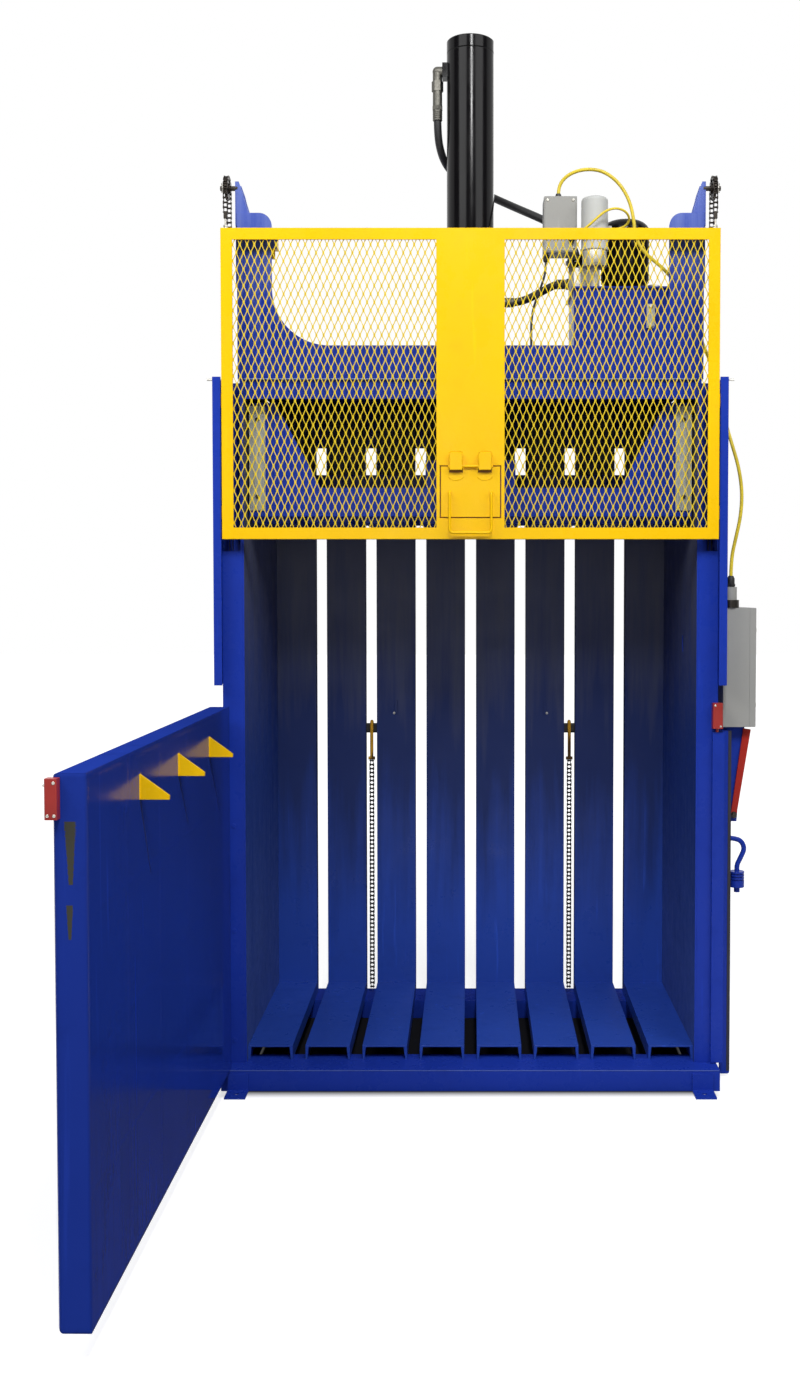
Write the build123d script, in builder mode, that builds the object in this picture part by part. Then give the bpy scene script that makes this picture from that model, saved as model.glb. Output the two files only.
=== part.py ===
"""Vertical recycling baler: a press chamber with a slotted floor and back wall, a swing door,
a counterbalanced mesh gate and a platen that a hydraulic cylinder pushes down.

Millimetres. Origin on the floor at the middle of the four anchor holes. +X to the operator's
right, +Y away from the operator, +Z up. Modelled as it stands ready to be loaded: door open,
gate up, platen up.
"""

import math
import os

from build123d import *

os.makedirs("parts", exist_ok=True)

# Chamber
CHAMBER_WIDTH = 1524.0
CHAMBER_DEPTH = 776.0
FRAME_TOP = 2385.0
WALL = 6.0

# Rolled channel of the floor and the back wall
CHANNEL_WIDTH = 152.4
CHANNEL_DEPTH = 48.8
CHANNEL_WEB = 6.0
CHANNEL_FLANGE_ROOT = 11.0
CHANNEL_FLANGE_TIP = 6.5
CHANNEL_COUNT = 8
FLOOR_SETBACK = 28.0
SLOT_TOP = 2240.0

SLAT_SLOT = (14.0, 60.0)
SLAT_SLOT_HEIGHT = 1215.0
SLOTTED_SLATS = (2, 5)
WALL_SLOT = (14.0, 60.0)
WALL_SLOT_SETBACK = 300.0
WALL_SLOT_HEIGHT = 1487.0

# Bale ejector: crossbars in two of the back slots, hooks over them, chains down to the base
HOOK_SLATS = (1, 5)
HOOK_BAR = (1112.0, 1150.0)
HOOK_BAR_SETBACK = 24.0
HOOK_BAR_THICKNESS = 12.0
HOOK_BAR_ROUND = 5.0
HOOK_ROD = 13.0
HOOK_BEND = 11.0
HOOK_BOTTOM = 1012.0
HOOK_TIP = 1128.0
EJECTOR_CHAIN_WIDTH = 19.0
EJECTOR_CHAIN_PLATE = 3.0
EJECTOR_CHAIN_HEIGHT = 11.0
EJECTOR_CHAIN_END = 8.0
EJECTOR_LINK = (6.6, 7.1)

# Base frame and its feet
BEAM_HEIGHT = 70.0
BEAM_REACH = 80.0
BEAM_OVERLAP = 80.0
BEAM_WALL = 6.0
FOOT_WIDTH = 70.0
FOOT_LEG = 75.0
FOOT_RISE = 60.0
FOOT_PLATE = 6.0
FOOT_SPACING = 1556.0
FOOT_HOLE_REACH = 40.0
FOOT_HOLE_DIAMETER = 18.0

# Front posts, where the counterweights run
POST_WIDTH = 68.0
POST_DEPTH = 100.0
POST_WALL = 6.0
POST_PLATE_TOP = 1810.0
POST_BOLT_HEIGHTS = (147.0, 521.0, 880.0)
POST_BOLT_SIZE = 16.0
POST_BOLT_HEAD = 2.5

# Gate
GATE_WIDTH = 1650.0
GATE_BOTTOM = 1848.0
GATE_TOP = 2872.0
GATE_ANGLE = 38.0
GATE_PLATE = 5.0
GATE_FRONT_REACH = 55.0
GATE_PANEL_WIDTH = 226.0
MESH_THICKNESS = 3.0
MESH_LAP = 12.0
MESH_STRAND = 7.0
MESH_COLUMNS = 8
MESH_ROWS = 5
SLIDE_BLOCK_HEIGHTS = (1937.0, 2308.0)
SLIDE_BLOCK_LENGTH = 44.0
SLIDE_BLOCK_REACH = 21.0
SLIDE_BLOCK_DEPTH = 22.0

# Flap on the gate and its pull handle
FLAP_WIDTH = 196.0
FLAP_EDGE_GAP = 4.0
FLAP_BOTTOM = 1921.0
FLAP_TOP = 2068.0
FLAP_PLATE = 3.0
FLAP_GAP = 0.3
FLAP_WEB_GAP = 2.0
FLAP_ROD_LAP = 6.0
FLAP_ROD_STANDOFF = 3.3
FLAP_PIVOT_RISE = 20.0
FLAP_ROD_DIAMETER = 8.0
FLAP_EAR_WIDTH = 41.0
FLAP_EAR_CENTRE = 48.0
FLAP_EAR_HEIGHT = 56.0
FLAP_EAR_DEPTH = 17.0
HANDLE_ROD = 9.0
HANDLE_WIDTH = 138.0
HANDLE_TOP = 2004.0
HANDLE_BOTTOM = 1868.0
HANDLE_STANDOFF = 20.0
HANDLE_BEND = 12.0

# Guide rails beside the gate
RAIL_BOTTOM = 1360.0
RAIL_GAP = 4.0
RAIL_INSIDE = 21.0
RAIL_PLATE = 6.0
RAIL_FRONT_REACH = 50.0
RAIL_BACK_REACH = 30.0
RAIL_PIN_DIAMETER = 8.0
RAIL_PIN_REACH = 20.0

# Gate chain drive
CHAIN_PITCH = 15.875
CHAIN_ROLLER = 4.0
CHAIN_INSIDE = 9.6
CHAIN_PLATE = 1.8
CHAIN_PLATE_HEIGHT = 13.0
SPROCKET_TEETH = 14
SPROCKET_THICKNESS = 8.0
SPROCKET_TIP = 4.2
SPROCKET_SEAT_GAP = 0.6
SPROCKET_TOOTH_WIDENING = 1.6
SPROCKET_MOUTH_LAP = 2.0
SPROCKET_HUB_DIAMETER = 34.0
SPROCKET_HUB_WIDTH = 24.0
SPROCKET_X = 812.0
SPROCKET_Z = 3018.0
SPROCKET_SETBACK = 8.0
AXLE_DIAMETER = 16.0
AXLE_GAP = 0.05
AXLE_REACH = 23.0
ROD_DIAMETER = 8.0
ROD_TOP = 2908.0
CHAIN_ENTRY = 2400.0

# Counterweights
WEIGHT_WIDTH = 32.0
WEIGHT_DEPTH = 72.0
WEIGHT_ROUND = 5.0
WEIGHT_LENGTH = 780.0
WEIGHT_TOP = 1680.0

# Header and its front plate
DECK_TOP = 2497.0
DECK_PLATE = 10.0
DECK_BEAM_SPACING = 250.0
DECK_BEAM_WIDTH = 60.0
LINTEL_BOTTOM = 2320.0
LINTEL_PLATE = 10.0
YOKE_PLATE = 10.0
YOKE_HALF_WIDTH = 780.0
YOKE_EAR_WIDTH = 116.0
YOKE_CORNER = 190.0
YOKE_TOP = 2936.0
YOKE_EAR_RADIUS = 42.0
YOKE_FLANGE_DEPTH = 70.0
ARM_INSIDE = 741.0
ARM_OUTSIDE = 785.0
ARM_RISE = 22.0
ARM_LAP = 236.0
ARM_PLATE = 8.0
ARM_DEPTH = 52.0
ARM_CREST = 12.0
ARM_SHOULDER = 30.0
ARM_SHOULDER_DROPS = (34.0, 58.0)
CATCH_SIZE = (32.0, 40.0, 40.0)
CATCH_LAP = 14.0
CATCH_DROP = 76.0
CATCH_PIN = (12.0, 30.0)

# Cylinder, rod and platen
CYLINDER_DIAMETER = 171.0
CYLINDER_BORE = 150.0
CYLINDER_BOTTOM = 2325.0
CYLINDER_TOP = 3650.0
CYLINDER_CAP = 20.0
CYLINDER_CAP_GROOVE = 46.0
GLAND_THICKNESS = 14.0
FLANGE_SIZE = 270.0
FLANGE_THICKNESS = 25.0
FLANGE_BOLT_SPACING = 220.0
FLANGE_BOLT_HEAD = 30.0
ROD_OUTSIDE = 90.0
RUNNING_GAP = 0.1
PISTON_GAP = 0.3
PISTON_LENGTH = 60.0
PISTON_TOP_GAP = 10.0
CAP_GROOVE_DEPTH = 2.0
CAP_EDGE = 3.0
FLANGE_LAP = 1.0
UPPER_PORT_DROP = 105.0
LOWER_PORT_RISE = 198.0
PORT_BLOCK = 50.0
PORT_REACH = 16.0
PORT_SADDLE = 4.0
ELBOW_DIAMETER = 36.0
ELBOW_REACH = 17.5
ELBOW_DROP = 143.0
HOSE_TAIL_DIAMETER = 34.0
HOSE_TAIL_LENGTH = 24.0
NUT_SIZE = 42.0
NUT_LENGTH = 36.0
NUT_DROP = 35.0
LOCK_NUT = 12.0
PLATEN_HALF_WIDTH = 756.0
PLATEN_BOTTOM = 1930.0
PLATEN_PLATE = 12.0
PLATEN_SETBACK = 80.0
PLATEN_BACK_GAP = 20.0
PLATEN_BAND = 98.0
PLATEN_SHOULDER = 2316.0
PLATEN_NOTCH_TOP = 1332.0
PLATEN_NOTCH_BOTTOM = 1024.0
PLATEN_REAR_TOP = 2127.0
PLATEN_RIB = 10.0
PLATEN_CORE_WIDTH = 320.0
PLATEN_CORE_DEPTH = 240.0
RUNNER_THICKNESS = 20.0
RUNNER_SETBACK = 60.0
WEAR_WIDTH = 55.0
WEAR_EDGE_GAP = 1.0
WEAR_BOTTOM = 1950.0
WEAR_TOP = 2306.0
WEAR_THICKNESS = 5.0
WEAR_BOLT = 14.0
WEAR_BOLT_HEAD = 4.0
WEAR_BOLT_INSET = 47.0

# Door
DOOR_OPEN_ANGLE = 90.5
DOOR_LENGTH = 1628.0
DOOR_BOTTOM = 74.0
DOOR_TOP = 1290.0
DOOR_THICKNESS = 75.0
DOOR_FACE_OFFSET = 39.0
DOOR_END_OFFSET = 22.0
DOOR_SEAL_GAP = 4.0
DOOR_EDGE_RADIUS = 14.0
DOOR_PLATE = 6.0
DOOR_RIM = 14.0
DOOR_RIB = 10.0
DOOR_BAYS_ALONG = 5
DOOR_BAYS_UP = 4
HINGE_REACH = 6.0
HINGE_HEIGHTS = (180.0, 660.0, 1140.0)
HINGE_BARREL = 32.0
HINGE_PIN = 18.0
HINGE_KNUCKLE = 45.0
HINGE_LEAF = 80.0
DOG_SPACING = 423.0
DOG_FIRST = 355.0
DOG_BOTTOM = 1164.0
DOG_HEIGHT = 63.0
DOG_REACH = 73.0
DOG_TIP = 10.0
DOG_PLATE = 10.0
ACTUATOR_SIZE = (26.0, 27.0, 88.0)
ACTUATOR_BOTTOM = 1193.0
ACTUATOR_OVERHANG = 8.0

# Latch side
LATCH_INSIDE = 816.0
LATCH_OUTSIDE = 857.0
LATCH_PLATE = 8.0
LATCH_TOP = 1200.0
LATCH_BOTTOM_GAP = 3.0
LATCH_FRONT_REACH = 14.0
LATCH_TAIL_X = 892.0
LATCH_TAIL_BOTTOM = 12.0
LATCH_TAIL_SETBACK = 52.0
LATCH_LUG_HEIGHTS = (160.0, 620.0, 1080.0)
LATCH_LUG_LENGTH = 60.0
LEVER_PIVOT_X = 906.0
LEVER_PIVOT_Z = 905.0
LEVER_LENGTH = 300.0
LEVER_LEAN = 8.5
LEVER_TIP_WIDTH = 26.0
LEVER_ROOT_WIDTH = 20.0
LEVER_DEPTH = 10.0
LEVER_PIN = 12.0
LEVER_PLATE_SETBACK = 86.0

# Door switch, interlock fitting
SENSOR_SIZE = (34.0, 30.0, 86.0)
SENSOR_X = 831.0
SENSOR_BOTTOM = 1213.0
SENSOR_ROUND = 3.0
SENSOR_GLAND = (10.0, 12.0)
FITTING_BOTTOM = 640.0
FITTING_BODY = 50.0
FITTING_TIP = 20.0
FITTING_TIP_LENGTH = 18.0
FITTING_TOP = 712.0
FITTING_RIB = 6.0
FITTING_GROOVE = 4.0
FITTING_RIBS = 3
CONDUIT_DIAMETER = 17.0
CONDUIT_RISE = 114.0
CONDUIT_LOOP = ((0, 0), (0, 22), (14, 50), (26, 78), (14, 106), (-16, CONDUIT_RISE), (-50, CONDUIT_RISE))

# Control box
BOX_INSIDE_X = 860.0
BOX_LID_X = 950.0
BOX_OUTSIDE_X = 972.0
BOX_FRONT = -350.0
BOX_WIDTH = 300.0
BOX_BOTTOM = 1212.0
BOX_HEIGHT = 406.0
BOX_SHEET = 2.0
BOX_STRUT = 40.0
STRUT_INSET = 8.0
PANEL_INSET = 30.0
PANEL_THICKNESS = 4.0
GEAR_INSET = 60.0
GEAR_END_GAP = 80.0
TRANSFORMER = (46.0, 70.0, 90.0)
TERMINAL_ROW = (31.0, 40.0)
HUB_X = 888.0
HUB_DIAMETER = 41.0
COLLAR_DIAMETER = 56.0
GLAND_DIAMETER = 26.0
COLLAR_TOP = 1645.0
HUB_TOP = 1689.0
GLAND_TOP = 1711.0
GLAND_SMALL = 18.0
BUTTON_DIAMETER = 28.0
BUTTON_HOLE_GAP = 0.3
STOP_HEAD_DIAMETER = 40.0
LID_HINGE_DIAMETER = 9.0
LID_HINGE_PIN = 4.0
LID_HINGE_OFFSET = 6.0
LID_HINGE_HEIGHTS = (60.0, 316.0)
LID_KNUCKLE = 15.0
BUTTON_HEIGHTS = (1480.0, 1390.0)
BUTTON_REACH = 12.0
BUTTON_INSIDE = 8.0
LID_ROUND = 4.0
START_ROUND = 2.0
STOP_ROUND = 5.0

# Power unit on the deck
TANK_X = (345.0, 712.0)
TANK_Y = (-308.0, -28.0)
TANK_HEIGHT = 208.0
TANK_LID = 6.0
TANK_LID_LAP = 8.0
GAUGE_X = 613.0
GAUGE_Z = (2570.0, 2651.0)
GAUGE_WIDTH = 28.0
GAUGE_THICKNESS = 10.0
TANK_ROUND = 12.0
MOTOR_CENTRE = (545.0, -128.0)
MOTOR_DIAMETER = 170.0
MOTOR_FIN = 5.0
MOTOR_FIN_ROOT = 4.0
MOTOR_FIN_THICKNESS = 4.0
MOTOR_FIN_COUNT = 24
BELL_DIAMETER = 140.0
BELL_HEIGHT = 46.0
BELL_SHOULDER = 10.0
MOTOR_BODY_HEIGHT = 167.0
MOTOR_COWL_HEIGHT = 50.0
MOTOR_COWL_LIP = 3.0
MOTOR_COWL_ROUND = 42.0
FILTER_CENTRE = (426.0, -258.0)
FILTER_DIAMETER = 92.0
FILTER_BOTTOM = 2838.0
FILTER_TOP = 3022.0
FILTER_HEAD = 60.0
FILTER_HEAD_TAPER = 8.0
FILTER_LIP = 4.0
FILTER_ROUND = 14.0
FILTER_PIPE = 34.0
FILTER_STUB = 12.0
FILTER_STUB_DIAMETER = 22.0
FILTER_STUB_HEIGHT = 2916.0
MANIFOLD_X = (362.0, 446.0)
MANIFOLD_Y = (-165.0, -45.0)
MANIFOLD_HEIGHT = 96.0
RETURN_PORT_Y = -66.0
RETURN_PORT_RISE = 60.0
PRESSURE_PORT = (380.0, -78.0)
VALVE_Y = -123.0
VALVE_BLOCK = (44.0, 40.0, 50.0)
SOLENOID_DIAMETER = 36.0
SOLENOID_OVERHANG = 8.0
FILLER_DIAMETER = 44.0
FILLER_HEIGHT = 50.0
FILLER_INSET = 60.0
JUNCTION_X = (253.0, 367.0)
JUNCTION_Y = (-238.0, -148.0)
JUNCTION_Z = (2843.0, 3034.0)
JUNCTION_COVER = 3.0
JUNCTION_ROUND = 4.0
BRACKET_WIDTH = 15.0
BRACKET_DROP = 30.0
BRACKET_PLATE = 6.0

# Hoses and cords
HOSE_DIAMETER = 28.0
CORD_DIAMETER = 12.0
CABLE_DIAMETER = 8.0
CORD_FILL = 0.45

# Worked out from the above
HALF_CHAMBER = CHAMBER_WIDTH / 2
WALL_OUT = HALF_CHAMBER + WALL
POST_OUT = WALL_OUT + POST_WIDTH
Y_FRONT = -CHAMBER_DEPTH / 2
Y_BACK = CHAMBER_DEPTH / 2
Y_REAR = Y_BACK + CHANNEL_DEPTH
CHANNEL_STEP = (CHAMBER_WIDTH - CHANNEL_WIDTH) / (CHANNEL_COUNT - 1)
SLOT_WIDTH = CHANNEL_STEP - CHANNEL_WIDTH
FLOOR_TOP = BEAM_HEIGHT + CHANNEL_DEPTH
GATE_Y = Y_FRONT - GATE_FRONT_REACH
HALF_GATE = GATE_WIDTH / 2
SPROCKET_RADIUS = CHAIN_PITCH / (2 * math.sin(math.pi / SPROCKET_TEETH))
SPROCKET_Y = Y_FRONT + SPROCKET_SETBACK
RAIL_X = HALF_GATE + RAIL_GAP
RAIL_WEB_X = RAIL_X + RAIL_INSIDE
LATCH_BOTTOM = BEAM_HEIGHT + LATCH_BOTTOM_GAP
CONDUIT_Y = Y_FRONT + LATCH_TAIL_SETBACK + LATCH_PLATE + CONDUIT_DIAMETER / 2
FITTING_X = LATCH_TAIL_X + FITTING_BODY / 2
BOX_BACK = BOX_FRONT + BOX_WIDTH
BOX_TOP = BOX_BOTTOM + BOX_HEIGHT
TANK_TOP = DECK_TOP + TANK_HEIGHT
LID_TOP = TANK_TOP + TANK_LID
MOTOR_TOP = LID_TOP + BELL_HEIGHT + MOTOR_BODY_HEIGHT + MOTOR_COWL_HEIGHT
CHAIN_Y = (SPROCKET_Y - SPROCKET_RADIUS, SPROCKET_Y + SPROCKET_RADIUS)
ARM_TOP = SPROCKET_Z + ARM_RISE
ARM_FOOT = YOKE_TOP - ARM_LAP
UPPER_PORT_HEIGHT = CYLINDER_TOP - UPPER_PORT_DROP
LOWER_PORT_HEIGHT = DECK_TOP + FLANGE_THICKNESS + LOWER_PORT_RISE
PORT_FACE = CYLINDER_DIAMETER / 2 + PORT_REACH
ELBOW_X = -PORT_FACE - ELBOW_REACH
ELBOW_BOTTOM = UPPER_PORT_HEIGHT - ELBOW_DROP
MANIFOLD_TOP = LID_TOP + MANIFOLD_HEIGHT


def block(x0, x1, y0, y1, z0, z1, mode=Mode.ADD):
    """A box between two corners, in the part being built."""
    centre = ((x0 + x1) / 2, (y0 + y1) / 2, (z0 + z1) / 2)
    with Locations(centre):
        Box(abs(x1 - x0), abs(y1 - y0), abs(z1 - z0), mode=mode)


def upright(x, y, z0, z1, diameter, mode=Mode.ADD):
    """A cylinder along Z between two heights, in the part being built."""
    with Locations((x, y, (z0 + z1) / 2)):
        Cylinder(diameter / 2, z1 - z0, mode=mode)


def along_x(x0, x1, y, z, diameter, mode=Mode.ADD):
    """A cylinder along X, in the part being built."""
    with Locations(((x0 + x1) / 2, y, z)):
        Cylinder(diameter / 2, abs(x1 - x0), rotation=(0, 90, 0), mode=mode)


def along_y(x, y0, y1, z, diameter, mode=Mode.ADD):
    """A cylinder along Y, in the part being built."""
    with Locations((x, (y0 + y1) / 2, z)):
        Cylinder(diameter / 2, abs(y1 - y0), rotation=(90, 0, 0), mode=mode)


def facing_front(y):
    """A sketch plane across the machine at depth y: local x is X, local y is Z."""
    return Plane(origin=(0, y, 0), x_dir=(1, 0, 0), z_dir=(0, -1, 0))


def facing_side(x):
    """A sketch plane along the machine at width x: local x is Y, local y is Z."""
    return Plane(origin=(x, 0, 0), x_dir=(0, 1, 0), z_dir=(1, 0, 0))


def save(name, part):
    """Label a finished piece and write it."""
    part.label = name
    export_step(part, f"parts/{name}.step")


def channel_section():
    """The rolled channel's section: web along the top edge, tapered flanges below it."""
    half = CHANNEL_WIDTH / 2
    Polygon(
        (-half, 0),
        (half, 0),
        (half, -CHANNEL_DEPTH),
        (half - CHANNEL_FLANGE_TIP, -CHANNEL_DEPTH),
        (half - CHANNEL_FLANGE_ROOT, -CHANNEL_WEB),
        (CHANNEL_FLANGE_ROOT - half, -CHANNEL_WEB),
        (CHANNEL_FLANGE_TIP - half, -CHANNEL_DEPTH),
        (-half, -CHANNEL_DEPTH),
        align=None,
    )


def channel_x(index):
    """Middle of the channel with that number, counted from the left."""
    return -HALF_CHAMBER + CHANNEL_WIDTH / 2 + index * CHANNEL_STEP


def cord_radii(points):
    """The largest arc that the two runs beside each point leave room for."""
    radii = []
    for before, point, after in zip(points, points[1:], points[2:]):
        run_in = Vector(*point) - Vector(*before)
        run_out = Vector(*after) - Vector(*point)
        half_turn = math.radians(run_in.get_angle(run_out)) / 2
        shorter = min(run_in.length, run_out.length)
        radii.append(CORD_FILL * shorter / math.tan(half_turn))
    return radii


def cord(name, points, diameter):
    """A cord or hose as a plain tube along straight runs and tangent arcs."""
    radii = cord_radii(points)
    with BuildPart() as tube:
        with BuildLine() as route:
            FilletPolyline(*points, radius=radii)
        path = route.wires()[0]
        with BuildSketch(Plane(origin=path @ 0, z_dir=path % 0)):
            Circle(diameter / 2)
        sweep(path=path)
    length = path.length
    expected = math.pi * diameter**2 / 4 * length
    ratio = tube.part.volume / expected
    print(f"{name}: length {length:.0f}, volume ratio {ratio:.4f}")
    print("  arc radii", *(round(radius) for radius in radii))
    save(name, tube.part)


def build_base_frame():
    """Welded base: two tubes across, two channels along, four bolted feet."""
    beam_inner = Y_FRONT + BEAM_OVERLAP
    beam_face = Y_FRONT - BEAM_REACH
    with BuildPart() as base:
        for side in (1, -1):
            block(-POST_OUT, POST_OUT, side * beam_face, side * beam_inner, 0, BEAM_HEIGHT)
            block(
                -POST_OUT,
                POST_OUT,
                side * (beam_face + BEAM_WALL),
                side * (beam_inner - BEAM_WALL),
                BEAM_WALL,
                BEAM_HEIGHT - BEAM_WALL,
                mode=Mode.SUBTRACT,
            )
            with BuildSketch(facing_front(-beam_inner)):
                Polygon(
                    (side * HALF_CHAMBER, 0),
                    (side * POST_OUT, 0),
                    (side * POST_OUT, BEAM_HEIGHT),
                    (side * HALF_CHAMBER, BEAM_HEIGHT),
                    (side * HALF_CHAMBER, BEAM_HEIGHT - BEAM_WALL),
                    (side * (POST_OUT - BEAM_WALL), BEAM_HEIGHT - BEAM_WALL),
                    (side * (POST_OUT - BEAM_WALL), BEAM_WALL),
                    (side * HALF_CHAMBER, BEAM_WALL),
                    align=None,
                )
            extrude(amount=-2 * beam_inner)
        for x in (-FOOT_SPACING / 2, FOOT_SPACING / 2):
            for side in (1, -1):
                face = side * beam_face
                toe = face - side * FOOT_LEG
                with BuildSketch(facing_side(x - FOOT_WIDTH / 2)):
                    Polygon(
                        (face, 0),
                        (toe, 0),
                        (toe, FOOT_PLATE),
                        (face - side * FOOT_PLATE, FOOT_PLATE),
                        (face - side * FOOT_PLATE, FOOT_RISE),
                        (face, FOOT_RISE),
                        align=None,
                    )
                extrude(amount=FOOT_WIDTH)
                hole_y = face - side * FOOT_HOLE_REACH
                upright(x, hole_y, 0, FOOT_PLATE, FOOT_HOLE_DIAMETER, mode=Mode.SUBTRACT)
    save("base_frame", base.part)


def build_floor_channels():
    """Inverted channels on the base, with gaps for the bale ties between them."""
    for index in range(CHANNEL_COUNT):
        plane = facing_front(Y_BACK)
        plane.origin += Vector(channel_x(index), 0, FLOOR_TOP)
        with BuildPart() as channel:
            with BuildSketch(plane):
                channel_section()
            extrude(amount=CHAMBER_DEPTH - FLOOR_SETBACK)
        save(f"floor_channel_{index + 1}", channel.part)


def build_back_slats():
    """Upright channels, webs to the chamber; two carry the crossbar of an ejector hook."""
    for index in range(CHANNEL_COUNT):
        x = channel_x(index)
        with BuildPart() as slat:
            with BuildSketch(
                Plane(origin=(x, Y_BACK, BEAM_HEIGHT), x_dir=(-1, 0, 0), z_dir=(0, 0, 1))
            ):
                channel_section()
            extrude(amount=FRAME_TOP - BEAM_HEIGHT)
            if index in SLOTTED_SLATS:
                width, length = SLAT_SLOT
                plane = facing_front(Y_BACK + CHANNEL_WEB / 2)
                plane.origin += Vector(x, 0, SLAT_SLOT_HEIGHT)
                with BuildSketch(plane):
                    SlotOverall(length, width, rotation=90)
                extrude(amount=CHANNEL_WEB / 2, mode=Mode.SUBTRACT)
            if index in HOOK_SLATS:
                low, high = HOOK_BAR
                bar_y = Y_BACK + HOOK_BAR_SETBACK + HOOK_BAR_THICKNESS / 2
                with BuildSketch(facing_side(x + CHANNEL_WIDTH / 2)):
                    with Locations((bar_y, (low + high) / 2)):
                        RectangleRounded(HOOK_BAR_THICKNESS, high - low, HOOK_BAR_ROUND)
                extrude(amount=SLOT_WIDTH)
        save(f"back_slat_{index + 1}", slat.part)


def build_side_walls():
    """Side plates of the chamber; the right one has a small upright slot."""
    for side, name in ((-1, "side_wall_left"), (1, "side_wall_right")):
        with BuildPart() as wall:
            block(side * HALF_CHAMBER, side * WALL_OUT, Y_FRONT, Y_REAR, BEAM_HEIGHT, FRAME_TOP)
            if side > 0:
                plane = facing_side(HALF_CHAMBER)
                plane.origin += Vector(0, Y_FRONT + WALL_SLOT_SETBACK, WALL_SLOT_HEIGHT)
                with BuildSketch(plane):
                    SlotOverall(WALL_SLOT[1], WALL_SLOT[0], rotation=90)
                extrude(amount=WALL, mode=Mode.SUBTRACT)
        save(name, wall.part)


def hinge_axis():
    """Where the door turns: X and Y of the hinge line."""
    return -(POST_OUT + HINGE_REACH), Y_FRONT - DOOR_SEAL_GAP - DOOR_FACE_OFFSET


def build_front_posts():
    """Box posts, open at the front above the plate; the left one carries the hinge pins."""
    hinge_x, hinge_y = hinge_axis()
    back = Y_FRONT + POST_DEPTH
    for side, name in ((-1, "front_post_left"), (1, "front_post_right")):
        with BuildPart() as post:
            block(side * WALL_OUT, side * POST_OUT, Y_FRONT, back, BEAM_HEIGHT, FRAME_TOP)
            block(
                side * (WALL_OUT + POST_WALL),
                side * (POST_OUT - POST_WALL),
                Y_FRONT + POST_WALL,
                back - POST_WALL,
                BEAM_HEIGHT,
                FRAME_TOP,
                mode=Mode.SUBTRACT,
            )
            block(
                side * (WALL_OUT + POST_WALL),
                side * (POST_OUT - POST_WALL),
                Y_FRONT,
                Y_FRONT + POST_WALL,
                POST_PLATE_TOP,
                FRAME_TOP,
                mode=Mode.SUBTRACT,
            )
            if side < 0:
                bolt_x = -(WALL_OUT + POST_WIDTH / 2)
                plane = facing_front(Y_FRONT)
                with BuildSketch(plane):
                    with Locations(*[(bolt_x, z) for z in POST_BOLT_HEIGHTS]):
                        RegularPolygon(POST_BOLT_SIZE / 2, 6)
                extrude(amount=POST_BOLT_HEAD)
                for z in HINGE_HEIGHTS:
                    block(
                        hinge_x,
                        -POST_OUT,
                        hinge_y,
                        Y_FRONT + HINGE_LEAF,
                        z,
                        z + HINGE_KNUCKLE,
                    )
                    upright(hinge_x, hinge_y, z, z + HINGE_KNUCKLE, HINGE_BARREL)
                    upright(hinge_x, hinge_y, z, z + 2 * HINGE_KNUCKLE, HINGE_PIN)
        save(name, post.part)


def build_guide_rails():
    """Lipped rails that the gate's slide blocks run in, each with a stop pin at its top."""
    front = Y_FRONT - RAIL_FRONT_REACH
    back = Y_FRONT + RAIL_BACK_REACH
    outside = RAIL_WEB_X + RAIL_PLATE
    for side, name in ((-1, "guide_rail_left"), (1, "guide_rail_right")):
        with BuildPart() as rail:
            with BuildSketch(Plane.XY.offset(RAIL_BOTTOM)):
                Polygon(
                    (side * RAIL_X, front),
                    (side * outside, front),
                    (side * outside, back),
                    (side * POST_OUT, back),
                    (side * POST_OUT, back - RAIL_PLATE),
                    (side * RAIL_WEB_X, back - RAIL_PLATE),
                    (side * RAIL_WEB_X, front + RAIL_PLATE),
                    (side * RAIL_X, front + RAIL_PLATE),
                    align=None,
                )
            extrude(amount=FRAME_TOP - RAIL_BOTTOM)
            pin_z = FRAME_TOP - RAIL_PIN_DIAMETER
            pin_y = front + 2 * RAIL_PIN_DIAMETER
            along_x(
                side * (outside - RAIL_PLATE / 2),
                side * (outside + RAIL_PIN_REACH),
                pin_y,
                pin_z,
                RAIL_PIN_DIAMETER,
            )
        save(name, rail.part)


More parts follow.
